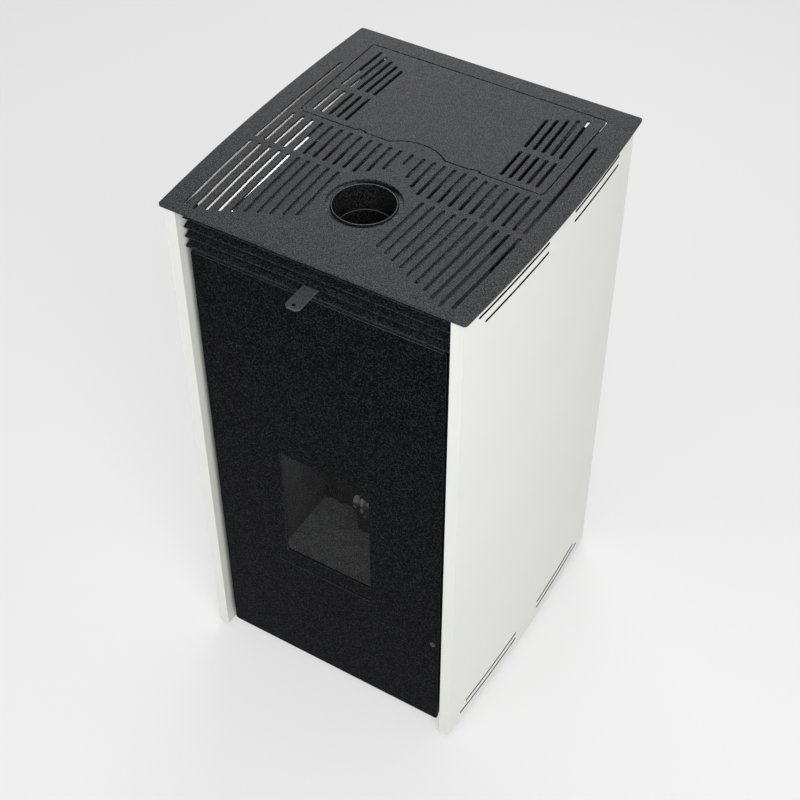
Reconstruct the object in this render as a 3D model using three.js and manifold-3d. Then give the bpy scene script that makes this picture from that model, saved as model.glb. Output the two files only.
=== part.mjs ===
// Pellet stove: a slotted top plate with a flush hopper lid, bowed side panels, a full-height glass door
// with a small window, a louvre with the exchanger scraper's pull tab, and the working parts inside.
// Millimetres, +Z up. The front faces -Y. The floor is z = 0.
import * as THREE from 'three';
import { mergeVertices } from 'three/addons/utils/BufferGeometryUtils.js';
import Module from 'manifold-3d';

const wasm = await Module();
wasm.setup();

// ---------------------------------------------------------------- driving dimensions

const seat = 0.3;                 // gap between two pieces that rest on each other
const running = 0.6;              // gap round a part that slides or turns
const chuteClear = 2;             // gap round the pellet chute where it goes through a sheet

// casing
const stoveHeight = 840;
const topWidth = 448;             // at the middle of the bowed sides
const topDepth = 468;
const sideBow = 9;                // how far each side swells at mid depth
const plateSheet = 3;
const plateCorner = 4;
const panelSheet = 1.5;
const panelInset = 5.5;           // side panel behind the edge of the top plate
const panelFrontInset = 4.5;
const panelBackInset = 14.2;
const panelFloorGap = 8;
const panelReturnWidth = 16.5;    // the folded front face of a side panel
const panelReturnDepth = 34.5;    // its leg back into the stove
const panelBackFlange = 15;
const panelSlotHeight = 4;
const panelSlotBridge = [-34, 35]; // the plain stretch between the front and back slots of a row
const panHeight = 14;             // floor to the underside of the base pan
const panSheet = 2;
const panRim = 20;
const backPanelTop = stoveHeight - 30;
const footPlaces = { side: topWidth / 2 - 59, front: -topDepth / 2 + 74, back: topDepth / 2 - 49 };

// the sides swell towards the middle of the depth
const bow = (y) => sideBow * (y / (topDepth / 2)) ** 2;
const bowedX = (x, y) => Math.sign(x) * (Math.abs(x) - bow(y));
const plateX = (y) => topWidth / 2 - bow(y);
const panelX = (y) => plateX(y) - panelInset;

// where the casing's sheets lie
const plateUnder = stoveHeight - plateSheet;
const carried = plateUnder - seat;
const panelFront = -topDepth / 2 + panelFrontInset;
const panelBack = topDepth / 2 - panelBackInset;
const backPanelOuter = panelBack - panelSheet - seat;
const backPanelInner = backPanelOuter - panelSheet;
const panFloor = panHeight + panSheet;

// slots in the top plate and lid
const slotWidth = 5;
const slotPitch = 14.8;
const slotFirst = 17.2;           // distance of the first slot from the middle
const edgeSlot = topWidth / 2 - 29; // the long slot next to each side
const middleRowBack = 12.5;
const middleRowFront = -57;
const edgeSlotBack = 145;
const frontRowBack = -65.5;
const frontRowFront = -topDepth / 2 + 67;
const frontRowStep = 6.6;         // each column further out reaches further forward
const lidSlotInset = 14.4;        // the outermost slot from the end of the lid
const lidSlotPitch = 12.4;
const lidSlotColumns = 5;
const lidFrontRow = [32, 89.5];
const lidBackRow = [99.5, 168];
const lidBackRowStep = 6.4;

// hopper lid
const lidWidth = topWidth - 91;
const lidFront = 21.5;
const lidBack = topDepth / 2 - 29;
const lidCorner = 5;
const lidSeam = 2;
const notchPlace = 84;
const notchWidth = 8;
const notchSlope = 3.5;
const notchRise = 3;
const gripRadius = 62;
const gripRise = 15.5;
const lidAxis = { y: topDepth / 2 - 19, z: plateUnder - 4.5 };
const lidArmPlace = lidWidth / 2 - 18.5;
const lidArmSheet = 3;
const lidPinRadius = 1.5;

// flue
const flueY = -103.5;
const flueHole = 97;
const flueOuter = 84;
const flueWall = 2;
const flueStep = 5.5;             // width of the stop ring inside the collar
const flueStepHeight = stoveHeight - 40;
const flueRimDrop = 1.5;          // rim below the top of the plate
const flueMargin = 10;            // plain plate left beside the flue hole
const shortSlots = [91.5, 70, 56]; // front ends of the slots behind the flue, from its centre

// front frame
const frameFront = -195;
const frameThick = 3;
const frameTop = stoveHeight - 65.3;
const frameHalf = panelX(panelFront) - panelReturnWidth - seat;
const frameBack = frameFront + frameThick;
const behindFrame = frameBack + seat;

// door
const doorHalf = frameHalf - 9;
const doorBottom = 20;
const doorTop = stoveHeight - 68;
const doorCorner = 5;
const glassFront = -220;
const glassThick = 4;
const frameInset = 1.5;
const frameDepth = 11.7;
const frameSheet = 2;
const windowWidth = 170;
const windowBottom = 246;
const windowTop = 477;
const hingeAxis = { x: -(doorHalf - 8), y: -208 };
const hingeHeights = [174, doorTop - 244];
const hingePinRadius = 3;
const hingeBoss = 5;
const hingeBossLength = 22;
const latchPlace = { x: doorHalf - 10, z: 200 };
const latchRadius = 4;
const camLength = 12;
const camThick = 3;
const glassBack = glassFront + glassThick;
const trayFront = glassBack + seat;
const trayBack = trayFront + frameDepth;

// louvre and scraper pull
const slatFront = -221;
const slatFirst = stoveHeight - 62.3;
const slatPitch = 14.7;
const slatCount = 4;
const slatDepth = 12;
const slatRise = 4.4;
const slatSheet = 2;
const louvreHalf = frameHalf - 3.8;
const louvreRib = 95;             // place of the two upright ribs between the slats
const pullTip = -262;
const pullCentre = -4.3;
const pullWidth = 20.4;
const pullTop = slatFirst + 10.8;
const pullSheet = 3;
const pullHoleRadius = 2.6;
const pullHoleInset = 6.5;

// firebox and what hangs on it
const fireHalf = 113;
const fireBack = -35;
const fireFloor = 200;
const fireTop = stoveHeight - 280;
const fireSheet = 3;
const fireOpening = { half: 104, bottom: 202, top: fireTop - 20 };
const ashOpening = { half: 106, bottom: 59, top: 168 };
const smokeHole = { half: 70, front: -180, back: -145 };
const jacketHalf = 133.5;
const jacketBack = -21;
const jacketSheet = 1.5;
const jacketBottom = 36;
const hoodBack = -62;             // the jacket's roof ends here and leaves the warm air a way up
const lining = { front: -62, top: fireTop - 70, groove: 3, grooves: 9 };
const alcoveHalf = 37;
const baffle = { front: -150, bottom: fireTop - 55, thick: 12 };
const pot = { half: 34, front: -96, back: -44, top: 262, wall: 3, rim: 2 };
const igniterPlace = { x: 0, z: 225 };
const ashHalf = 109;
const ashFloor = 60;
const ashSheet = 1.5;
const drawer = { half: 100, front: -190, back: -45, height: 92 };

// door gasket, round both openings
const ropeRadius = 4.2;
const ropeMargin = 14;
const ropeHalfWidth = fireOpening.half + ropeMargin;
const ropeBottom = ashOpening.bottom - ropeMargin;
const ropeTop = fireOpening.top + ropeMargin;

// smoke path
const smokeBox = { half: 85, back: -135.3, top: stoveHeight - 95 };
const finSheet = 3;
const finPlaces = [-72, -48, -24, 24, 48, 72];
const finBottom = fireTop + 46;
const combBack = -151;
const combSheet = 2;
const combTop = smokeBox.top - 10;
const fan = { x: -40, z: smokeBox.top - 90, front: -135, back: -72, start: 64, end: 78, wall: 1.5 };
const neckHalf = 38;
const neckTop = smokeBox.top + 24.7;
const impellerRadius = 56;
const impellerBlades = 10;

// pellet path
const hopperHalf = lidWidth / 2 - 33.5;
const hopperFront = 24;
const hopperBack = lidBack - 3;
const hopperWall = 1.5;
const hopperShoulder = stoveHeight - 200;
const hopperRim = 8;              // flat rim of the funnel, which the hopper's walls stand on
const hopperFlangeFront = -19;
const gridBottom = stoveHeight - 60;
const throatHalf = 24;
const throatTop = 440;
const throatBottom = 379;
const augerPlace = { y: 105, z: 375 };
const augerTilt = 40;             // degrees
const augerOuter = 29;
const augerInner = 27;
const augerUpper = -125;          // the tube's ends, along its own axis
const augerLower = 55;
const augerPitch = 38;
const augerFlight = 25.5;
const augerShaft = 6;
// the chute's floor and roof run straight from its foot over the pot up to the auger's outlet
const chute = {
  foot: -60, head: 28, roofEnd: -16, wall: 1.5,
  floorFoot: pot.top + 54, roofFoot: pot.top + 106,
  floorHead: augerPlace.z + 13, side: augerPlace.z + 51, roofTop: augerPlace.z + 57,
};

// convection blower, air pipe and electrics
const blower = { y: 110, z: 85, left: -172, right: -2, radius: 36, wall: 1.5, top: 150 };
const blowerBlades = 18;
const airPipe = { x: 70, z: 120, radius: 25, wall: 1.5, back: 250 };
const inletPlace = { x: -(topWidth / 2 - 73), z: 62 };
const rockerPlace = { x: inletPlace.x, z: inletPlace.z + 38 };
const boardPlace = { left: topWidth / 2 - 164, width: 110, bottom: 250, height: 150 };
const thermostatPlace = { x: topWidth / 2 - 74, z: 160 };
const ventPlaces = { near: 85, far: topWidth / 2 - 49, drop: 100, pitch: 25, rows: 6 };

// ---------------------------------------------------------------- materials

const paint = (color, roughness, metalness) => new THREE.MeshStandardMaterial({ color, roughness, metalness });
const finish = {
  panel: paint(0xe4e5de, 0.45, 0.1),
  anthracite: paint(0x4b4c4e, 0.6, 0.3),
  black: paint(0x1e2022, 0.6, 0.3),
  glass: paint(0x141517, 0.08, 0.0),
  rope: paint(0x8f8a80, 0.95, 0.0),
  steel: paint(0xa8aaab, 0.4, 0.8),
  galvanised: paint(0x8e9193, 0.5, 0.7),
  castIron: paint(0x3c3d3e, 0.8, 0.4),
  brick: paint(0xb9a583, 0.95, 0.0),
  plastic: paint(0x202122, 0.5, 0.0),
  board: paint(0x1f5a34, 0.5, 0.0),
};

// ---------------------------------------------------------------- small tools

// Closed geometry to a solid, with doubled points merged and collapsed triangles left out.
function solidOf(geometry) {
  const bare = geometry.clone();
  bare.deleteAttribute('normal');
  bare.deleteAttribute('uv');
  const merged = mergeVertices(bare, 1e-4);
  const index = merged.index.array;
  const kept = [];
  for (let i = 0; i < index.length; i += 3) {
    const [a, b, c] = [index[i], index[i + 1], index[i + 2]];
    if (a !== b && b !== c && c !== a) kept.push(a, b, c);
  }
  const place = merged.attributes.position;
  const [p, q, r] = [new THREE.Vector3(), new THREE.Vector3(), new THREE.Vector3()];
  let volume = 0;
  for (let i = 0; i < kept.length; i += 3) {
    p.fromBufferAttribute(place, kept[i]);
    q.fromBufferAttribute(place, kept[i + 1]);
    r.fromBufferAttribute(place, kept[i + 2]);
    volume += p.dot(q.cross(r));
  }
  if (volume < 0) kept.reverse();
  return new wasm.Manifold(new wasm.Mesh({
    numProp: 3,
    vertProperties: new Float32Array(place.array),
    triVerts: new Uint32Array(kept),
  }));
}

function geometryOf(solid) {
  const mesh = solid.getMesh();
  const geometry = new THREE.BufferGeometry();
  geometry.setAttribute('position', new THREE.BufferAttribute(mesh.vertProperties.slice(), 3));
  geometry.setIndex(new THREE.BufferAttribute(mesh.triVerts.slice(), 1));
  const flat = geometry.toNonIndexed();
  flat.computeVertexNormals();
  return flat;
}

const join = (...solids) => solids.flat().reduce((all, next) => all.add(next));
const cut = (body, ...tools) => tools.flat().reduce((rest, tool) => rest.subtract(tool), body);
const points = (...pairs) => pairs.map(([u, v]) => new THREE.Vector2(u, v));
const steps = (count) => Array.from({ length: count }, (unused, i) => i);

function arc(u, v, radius, from, to, count) {
  return steps(count + 1).map((i) => {
    const angle = from + (to - from) * i / count;
    return new THREE.Vector2(u + radius * Math.cos(angle), v + radius * Math.sin(angle));
  });
}

const circle = (u, v, radius, sides = 20) => arc(u, v, radius, 0, 2 * Math.PI * (1 - 1 / sides), sides - 1);

function roundedRect(u0, u1, v0, v1, radius, sides = 4) {
  const quarter = Math.PI / 2;
  return [
    ...arc(u1 - radius, v0 + radius, radius, -quarter, 0, sides),
    ...arc(u1 - radius, v1 - radius, radius, 0, quarter, sides),
    ...arc(u0 + radius, v1 - radius, radius, quarter, 2 * quarter, sides),
    ...arc(u0 + radius, v0 + radius, radius, 2 * quarter, 3 * quarter, sides),
  ];
}

// An outline pushed along an axis. Outlines are (x, y) along z, (x, z) along y and (y, z) along x.
const [X, Y, Z] = [new THREE.Vector3(1, 0, 0), new THREE.Vector3(0, 1, 0), new THREE.Vector3(0, 0, 1)];
const bases = {
  z: new THREE.Matrix4().makeBasis(X, Y, Z),
  y: new THREE.Matrix4().makeBasis(X, Z, Y.clone().negate()),
  x: new THREE.Matrix4().makeBasis(Y, Z, X),
};

function prism(outline, axis, from, to, holes = []) {
  const geometry = new THREE.ExtrudeGeometry(new THREE.Shape(outline), { depth: to - from, bevelEnabled: false });
  geometry.applyMatrix4(bases[axis]);
  const shift = { x: [from, 0, 0], y: [0, to, 0], z: [0, 0, from] }[axis];
  geometry.translate(...shift);
  return cut(solidOf(geometry), holes.map((hole) => prism(hole, axis, from - 1, to + 1)));
}

function block(x0, x1, y0, y1, z0, z1) {
  const geometry = new THREE.BoxGeometry(x1 - x0, y1 - y0, z1 - z0);
  geometry.translate((x0 + x1) / 2, (y0 + y1) / 2, (z0 + z1) / 2);
  return solidOf(geometry);
}

const rod = (axis, u, v, radius, from, to, sides = 14) => prism(circle(u, v, radius, sides), axis, from, to);

// A profile of (radius, height) pairs turned about the z axis, then laid along another axis if asked.
function turned(profile, axis, place, sides = 32) {
  const geometry = new THREE.LatheGeometry(points(...profile), sides);
  geometry.applyMatrix4(new THREE.Matrix4().makeBasis(X, Z, Y.clone().negate()));
  if (axis === 'y') geometry.rotateX(-Math.PI / 2);
  if (axis === 'x') geometry.rotateY(Math.PI / 2);
  geometry.translate(...place);
  return solidOf(geometry);
}

// A box whose top rectangle differs from its bottom one; each rectangle is [x0, x1, y0, y1].
function taper(bottom, z0, top, z1) {
  const ring = ([x0, x1, y0, y1], z) => [x0, y0, z, x1, y0, z, x1, y1, z, x0, y1, z];
  const geometry = new THREE.BufferGeometry();
  const corners = new Float32Array([...ring(bottom, z0), ...ring(top, z1)]);
  geometry.setAttribute('position', new THREE.BufferAttribute(corners, 3));
  const sides = steps(4).flatMap((i) => {
    const next = (i + 1) % 4;
    return [i, next, next + 4, i, next + 4, i + 4];
  });
  geometry.setIndex([0, 2, 1, 0, 3, 2, 4, 5, 6, 4, 6, 7, ...sides]);
  return solidOf(geometry);
}

function piece(name, solid, material) {
  const mesh = new THREE.Mesh(solid.isBufferGeometry ? solid : geometryOf(solid), material);
  mesh.name = name;
  return mesh;
}

// ---------------------------------------------------------------- bowed outlines

const between = (from, to, count) => steps(count + 1).map((i) => from + (to - from) * i / count);

// Both bowed sides of a sheet that reaches from front to back, with round corners.
function bowedSheet(edgeX, front, back, radius) {
  const quarter = Math.PI / 2;
  const side = between(front + radius, back - radius, 10).map((y) => [edgeX(y), y]);
  const right = [
    ...arc(edgeX(front) - radius, front + radius, radius, -quarter, 0, 3).slice(0, -1),
    ...points(...side),
    ...arc(edgeX(back) - radius, back - radius, radius, 0, quarter, 3).slice(1),
  ];
  const left = right.map((p) => new THREE.Vector2(-p.x, p.y)).reverse();
  return [...right, ...left];
}

// One slot that follows the bow of the sides, with clipped ends.
function slot(x, front, back, width = slotWidth) {
  const half = width / 2;
  const clip = half * 0.6;
  const rows = between(front + clip, back - clip, 1 + Math.floor((back - front) / 110));
  const right = rows.map((y) => [bowedX(x, y) + half, y]);
  const left = rows.map((y) => [bowedX(x, y) - half, y]).reverse();
  const end = (y, sign) => [bowedX(x, y) + sign * (half - clip), y];
  return points(end(front, 1), ...right, end(back, 1), end(back, -1), ...left, end(front, -1));
}

const mirrored = (places) => places.flatMap((x) => (x === 0 ? [0] : [x, -x]));

// As many columns as fit up to the edge slot, in a middle row and a front row that starts beside the flue.
function topPlateSlots() {
  const count = Math.floor((edgeSlot - slotFirst) / slotPitch + 0.01);
  const first = Math.ceil((flueHole / 2 + flueMargin - slotFirst) / slotPitch);
  const column = (i) => slotFirst + slotPitch * i;
  const middle = [slot(0, flueY + shortSlots[0], middleRowBack)];
  steps(count).forEach((i) => {
    const front = i + 1 < shortSlots.length ? flueY + shortSlots[i + 1] : middleRowFront;
    mirrored([column(i)]).forEach((x) => middle.push(slot(x, front, middleRowBack)));
  });
  const ahead = steps(count - first).flatMap((i) =>
    mirrored([column(first + i)]).map((x) => slot(x, frontRowFront - frontRowStep * i, frontRowBack)));
  const lastFront = frontRowFront - frontRowStep * (count - first - 1);
  const edges = mirrored([edgeSlot]).flatMap((x) =>
    [slot(x, middleRowFront, edgeSlotBack), slot(x, lastFront + 3, frontRowBack)]);
  return [...middle, ...ahead, ...edges];
}

function lidSlots() {
  const outermost = lidWidth / 2 - lidSlotInset;
  return steps(lidSlotColumns).flatMap((i) => mirrored([outermost - lidSlotPitch * i]).flatMap((x) => [
    slot(x, ...lidFrontRow),
    slot(x, lidBackRow[0], lidBackRow[1] + lidBackRowStep * (lidSlotColumns - 1 - i)),
  ]));
}

// The lid's outline at the middle of its seam, moved outwards by a distance.
function lidOutline(out) {
  const quarter = Math.PI / 2;
  const half = lidWidth / 2 + out;
  const front = lidFront - out;
  const back = lidBack + out;
  const radius = lidCorner + out;
  const gripY = lidFront + gripRise - gripRadius;
  const swell = gripRadius - out;
  const from = Math.PI - Math.asin((front - gripY) / swell);
  const notch = (x) => [
    [x - notchWidth / 2 - notchSlope + out, front],
    [x - notchWidth / 2 + out, front + notchRise],
    [x + notchWidth / 2 - out, front + notchRise],
    [x + notchWidth / 2 + notchSlope - out, front],
  ];
  return [
    ...arc(-half + radius, front + radius, radius, 2 * quarter, 3 * quarter, 3),
    ...points(...notch(-notchPlace)),
    ...arc(0, gripY, swell, from, Math.PI - from, 10),
    ...points(...notch(notchPlace)),
    ...arc(half - radius, front + radius, radius, -quarter, 0, 3),
    ...arc(half - radius, back - radius, radius, 0, quarter, 3),
    ...arc(-half + radius, back - radius, radius, quarter, 2 * quarter, 3),
  ];
}

// ---------------------------------------------------------------- casing

function topPlate() {
  const outline = bowedSheet(plateX, -topDepth / 2, topDepth / 2, plateCorner);
  const flue = circle(0, flueY, flueHole / 2, 40);
  return prism(outline, 'z', plateUnder, stoveHeight, [flue, lidOutline(lidSeam / 2), ...topPlateSlots()]);
}

// side is 1 for the right panel and -1 for the left one
function sidePanel(side) {
  const leg = panelX(panelFront) - panelReturnWidth;
  const returnBack = panelFront + panelReturnDepth;
  const outer = between(panelFront, panelBack, 8).map((y) => [panelX(y), y]);
  const inner = between(panelFront + panelSheet, panelBack - panelSheet, 8)
    .map((y) => [panelX(y) - panelSheet, y]).reverse();
  const flange = panelX(panelBack) - panelBackFlange;
  const profile = [
    [leg, returnBack], [leg, panelFront], ...outer,
    [flange, panelBack], [flange, panelBack - panelSheet], ...inner,
    [leg + panelSheet, panelFront + panelSheet], [leg + panelSheet, returnBack],
  ].map(([x, y]) => [side * x, y]);
  const sheet = prism(points(...profile), 'z', panelFloorGap, carried);
  return cut(sheet, sidePanelSlots(side));
}

// Each row: its height, and how far it starts behind the front edge and ends before the back edge.
function sidePanelSlots(side) {
  const rows = [
    [stoveHeight - 18.5, 32.5, 49.8], [stoveHeight - 33.5, 46.5, 49.8],
    [panelFloorGap + 36.5, 45.5, 47.8], [panelFloorGap + 22.5, 30.5, 32.8],
  ];
  const depth = [panelX(panelFront) - panelReturnWidth + 2 * panelSheet, topWidth / 2];
  const [from, to] = side > 0 ? depth : [-depth[1], -depth[0]];
  const half = panelSlotHeight / 2;
  const clip = half / 2;
  return rows.flatMap(([z, ahead, behind]) => {
    const slots = [[panelFront + ahead, panelSlotBridge[0]], [panelSlotBridge[1], panelBack - behind]];
    return slots.map(([front, back]) => prism(points(
      [front, z - clip], [front + clip, z - half], [back - clip, z - half], [back, z - clip],
      [back, z + clip], [back - clip, z + half], [front + clip, z + half], [front, z + clip],
    ), 'x', from, to));
  });
}

// Folded up along both sides and the back; the front frame closes the front.
function basePan() {
  const edge = (y) => panelX(y) - panelSheet - seat;
  const front = behindFrame;
  const back = backPanelInner - seat;
  const tray = prism(bowedSheet(edge, front, back, 2), 'z', panHeight, panHeight + panRim);
  const hollow = bowedSheet((y) => edge(y) - panSheet, front - panRim, back - panSheet, 2);
  return cut(tray, prism(hollow, 'z', panFloor, panHeight + panRim + 1));
}

function backPanel() {
  const half = panelX(panelBack) - panelSheet - seat;
  const vent = (x0, x1, z) => roundedRect(x0, x1, z - 3, z + 3, 2.5, 1);
  const { near, far, drop, pitch, rows } = ventPlaces;
  const vents = steps(rows).flatMap((row) => {
    const z = backPanelTop - drop - pitch * row;
    return [vent(-far, -near, z), vent(near, far, z)];
  });
  const intake = steps(3).map((row) => vent(-100, 0, blower.top + 30 + 22 * row));
  const holes = [
    circle(airPipe.x, airPipe.z, airPipe.radius + running),
    points([inletPlace.x - 15, inletPlace.z - 13], [inletPlace.x + 15, inletPlace.z - 13],
      [inletPlace.x + 15, rockerPlace.z + 12], [inletPlace.x - 15, rockerPlace.z + 12]),
    circle(thermostatPlace.x, thermostatPlace.z, 8, 14),
  ];
  const outline = points([-half, panHeight], [half, panHeight], [half, backPanelTop], [-half, backPanelTop]);
  return prism(outline, 'y', backPanelInner, backPanelOuter, [...vents, ...intake, ...holes]);
}

// A screw-in foot: round pad, stem and jam nut under the base pan.
function levellingFoot() {
  const top = panHeight - seat;
  const pad = turned([[0, 0], [15.5, 0], [17, 1.5], [17, 4], [12, 6], [4, 6.5], [4, top], [0, top]], 'z', [0, 0, 0], 14);
  const nut = rod('z', 0, 0, 7.5, top - 5, top, 6);
  return join(pad, nut);
}

function frontFrame() {
  const outline = points([-frameHalf, panHeight], [frameHalf, panHeight], [frameHalf, frameTop], [-frameHalf, frameTop]);
  const opening = ({ half, bottom, top }) => roundedRect(-half, half, bottom, top, 6, 2);
  return prism(outline, 'y', frameFront, frameBack, [opening(fireOpening), opening(ashOpening)]);
}

// The sheet that keeps the rising room air close to the firebox, with a roof that turns it to the louvre.
function convectionJacket() {
  const s = jacketSheet;
  const u = cut(
    block(-jacketHalf, jacketHalf, behindFrame, jacketBack, jacketBottom, carried),
    block(-jacketHalf + s, jacketHalf - s, behindFrame - 1, jacketBack - s, jacketBottom - 1, carried + 1),
  );
  const hood = cut(
    block(-jacketHalf + s / 2, jacketHalf - s / 2, behindFrame, hoodBack, carried - s, carried),
    rod('z', 0, flueY, flueOuter / 2 + running, carried - s - 1, carried + 1, 32),
  );
  const back = [jacketBack - s - 1, jacketBack + 1];
  return join(hood, cut(u,
    chuteHole(jacketBack - s, jacketBack),
    rod('y', igniterPlace.x, igniterPlace.z, 5 + running, ...back),
    rod('y', airPipe.x, airPipe.z, airPipe.radius + running, ...back, 20)));
}

function louvre() {
  const slats = steps(slatCount).map((i) => {
    const z = slatFirst + slatPitch * i;
    const back = slatFront + slatDepth;
    const profile = points([slatFront, z - slatSheet], [slatFront, z], [back, z + slatRise], [back, z + slatRise - slatSheet]);
    return prism(profile, 'x', -louvreHalf, louvreHalf);
  });
  const bottom = frameTop + seat;
  const cheek = (x0, x1, back) => block(x0, x1, slatFront + slatDepth - 3, back, bottom, carried);
  const cheeks = [
    cheek(-louvreHalf, -louvreHalf + slatSheet, frameBack), cheek(louvreHalf - slatSheet, louvreHalf, frameBack),
    cheek(-louvreRib, -louvreRib + slatSheet, slatFront + slatDepth + 3),
    cheek(louvreRib - slatSheet, louvreRib, slatFront + slatDepth + 3),
  ];
  return join(slats, cheeks);
}

// ---------------------------------------------------------------- hopper lid

const hopperLid = () => prism(lidOutline(-lidSeam / 2), 'z', plateUnder, stoveHeight, lidSlots());

// A gooseneck arm under the lid that swings round the edge of the top plate.
function lidArm() {
  const { y, z } = lidAxis;
  const knuckle = lidPinRadius + 2;
  const under = plateUnder - seat;
  const profile = points(
    [y - 43, under], [y - 43, under - 3], [y - 19, under - 3], [y - 19, z - 17],
    [y + knuckle, z - 17], [y + knuckle, z], [y + knuckle * 0.7, z + knuckle * 0.7], [y, z + knuckle],
    [y - knuckle * 0.7, z + knuckle * 0.7], [y - knuckle, z], [y - knuckle, z - 12.5],
    [y - 14, z - 12.5], [y - 14, under],
  );
  return prism(profile, 'x', -lidArmSheet / 2, lidArmSheet / 2, [circle(y, z, lidPinRadius + seat, 12)]);
}

// An ear and foot under the top plate that hold the hinge pin; side is 1 on the right.
function lidBracket(side) {
  const { y, z } = lidAxis;
  const near = lidArmSheet / 2 + running;
  const [e0, e1] = side > 0 ? [near, near + 2] : [-near - 2, -near];
  const [f0, f1] = side > 0 ? [near, near + 13] : [-near - 13, -near];
  const ear = cut(block(e0, e1, y - 5, y + 5, z - 5, carried), rod('x', y, z, lidPinRadius + seat, e0 - 1, e1 + 1, 12));
  return join(ear, block(f0, f1, y - 7, y + 8, carried - 1.5, carried));
}

function lidPin(side) {
  const { y, z } = lidAxis;
  const [from, to] = side > 0 ? [-3, 7] : [-7, 3];
  return rod('x', y, z, lidPinRadius, from, to, 12);
}

// ---------------------------------------------------------------- door

function doorGlass() {
  const outline = roundedRect(-doorHalf, doorHalf, doorBottom, doorTop, doorCorner);
  return prism(outline, 'y', glassFront, glassBack, [circle(latchPlace.x, latchPlace.z, latchRadius + running, 16)]);
}

function doorFrame() {
  const half = doorHalf - frameInset;
  const [bottom, top] = [doorBottom + frameInset, doorTop - frameInset];
  const skin = trayFront + frameSheet;
  const outer = roundedRect(-half, half, bottom, top, doorCorner - frameInset, 3);
  const tray = cut(
    prism(outer, 'y', trayFront, trayBack),
    block(-half + frameSheet, half - frameSheet, skin, trayBack + 1, bottom + frameSheet, top - frameSheet),
    block(-windowWidth / 2, windowWidth / 2, trayFront - 1, skin + 1, windowBottom, windowTop),
    rod('y', latchPlace.x, latchPlace.z, latchRadius + running, trayFront - 1, trayBack, 16),
    hingeHeights.map((z) => block(-half - 1, -half + frameSheet, hingeAxis.y - hingeBoss, trayBack + 1,
      z - 8, z + hingeBossLength + 6)),
    hingeHeights.map((z) => block(-half - 1, hingeAxis.x, trayFront - 1, skin + 1, z - 8, z + seat)),
  );
  const channel = ropeRadius + 2;
  const ring = (grow) => roundedRect(-ropeHalfWidth - grow, ropeHalfWidth + grow, ropeBottom - grow, ropeTop + grow, 12, 3);
  const rail = prism(ring(channel), 'y', skin - 0.5, trayBack, [ring(-channel)]);
  const bosses = hingeHeights.map((z) => {
    const [low, high] = [z + seat, z + seat + hingeBossLength];
    const foot = block(hingeAxis.x - hingeBoss, hingeAxis.x + hingeBoss, skin - 0.5, hingeAxis.y, low, high);
    const barrel = rod('z', hingeAxis.x, hingeAxis.y, hingeBoss, low, high);
    return cut(join(foot, barrel), rod('z', hingeAxis.x, hingeAxis.y, hingePinRadius + seat, low - 1, high + 1));
  });
  return join(tray, rail, bosses);
}

// A rope of round section laid in a rectangle with round corners, in the plane of the door.
function doorRope() {
  const section = 8;
  const corner = 12;
  const path = roundedRect(-ropeHalfWidth, ropeHalfWidth, ropeBottom, ropeTop, corner, 3);
  const centreY = frameFront - seat - ropeRadius;
  const place = [];
  path.forEach((p, i) => {
    const before = path[(i + path.length - 1) % path.length];
    const after = path[(i + 1) % path.length];
    const along = after.clone().sub(before).normalize();
    const out = new THREE.Vector2(along.y, -along.x);
    steps(section).forEach((k) => {
      const angle = 2 * Math.PI * (k + 0.5) / section;
      const reach = ropeRadius * Math.cos(angle);
      place.push(p.x + out.x * reach, centreY + ropeRadius * Math.sin(angle), p.y + out.y * reach);
    });
  });
  const index = path.flatMap((p, i) => steps(section).flatMap((k) => {
    const next = ((i + 1) % path.length) * section;
    const [a, b] = [i * section + k, i * section + (k + 1) % section];
    const [c, d] = [next + k, next + (k + 1) % section];
    return [a, b, d, a, d, c];
  }));
  const geometry = new THREE.BufferGeometry();
  geometry.setAttribute('position', new THREE.BufferAttribute(new Float32Array(place), 3));
  geometry.setIndex(index);
  return solidOf(geometry);
}

// The fixed leaf that carries one hinge pin.
function hingeBracket(z) {
  const thick = 4;
  const front = frameFront - seat;
  const { x, y } = hingeAxis;
  const arm = join(
    block(x - hingeBoss, x + hingeBoss, y, front, z - thick, z),
    rod('z', x, y, hingeBoss, z - thick, z),
  );
  const leaf = block(x - 12, x + 8, front - 1.5, front, z - 16, z + 12);
  return cut(join(arm, leaf), rod('z', x, y, hingePinRadius + seat, z - thick - 1, z + 1));
}

function hingePin(z) {
  const head = rod('z', hingeAxis.x, hingeAxis.y, hingeBoss, z - 7, z - 4 - seat);
  return join(head, rod('z', hingeAxis.x, hingeAxis.y, hingePinRadius, z - 7, z + hingeBossLength - 4));
}

// Key-turned spindle with a square socket in front and a cam behind the door.
function latchSpindle() {
  const { x, z } = latchPlace;
  const back = frameFront - 3.7;
  const shaft = rod('y', x, z, latchRadius, glassFront - 0.6, back);
  const half = 4;
  const cam = prism([
    ...arc(x, z, half, 0, Math.PI, 6),
    ...arc(x, z - camLength + half, half, Math.PI, 2 * Math.PI, 6),
  ], 'y', back - camThick, back);
  const socket = block(x - 2, x + 2, glassFront - 1, glassFront + 6, z - 2, z + 2);
  return cut(join(shaft, cam), socket);
}

// The hooked plate that the cam turns behind; its lip sits between the door frame and the cam.
function latchKeeper() {
  const { x, z } = latchPlace;
  const front = trayBack + seat;
  const foot = frameFront - seat;
  const [inner, outer] = [x + 6, x + 16];
  return join(
    block(inner, outer, front, front + 1.5, z - 10, z + 10),
    block(outer - 2, outer, front, foot, z - 10, z + 10),
    block(outer - 8, outer, foot - 1.5, foot, z - 10, z + 10),
  );
}

// ---------------------------------------------------------------- firebox

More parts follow.
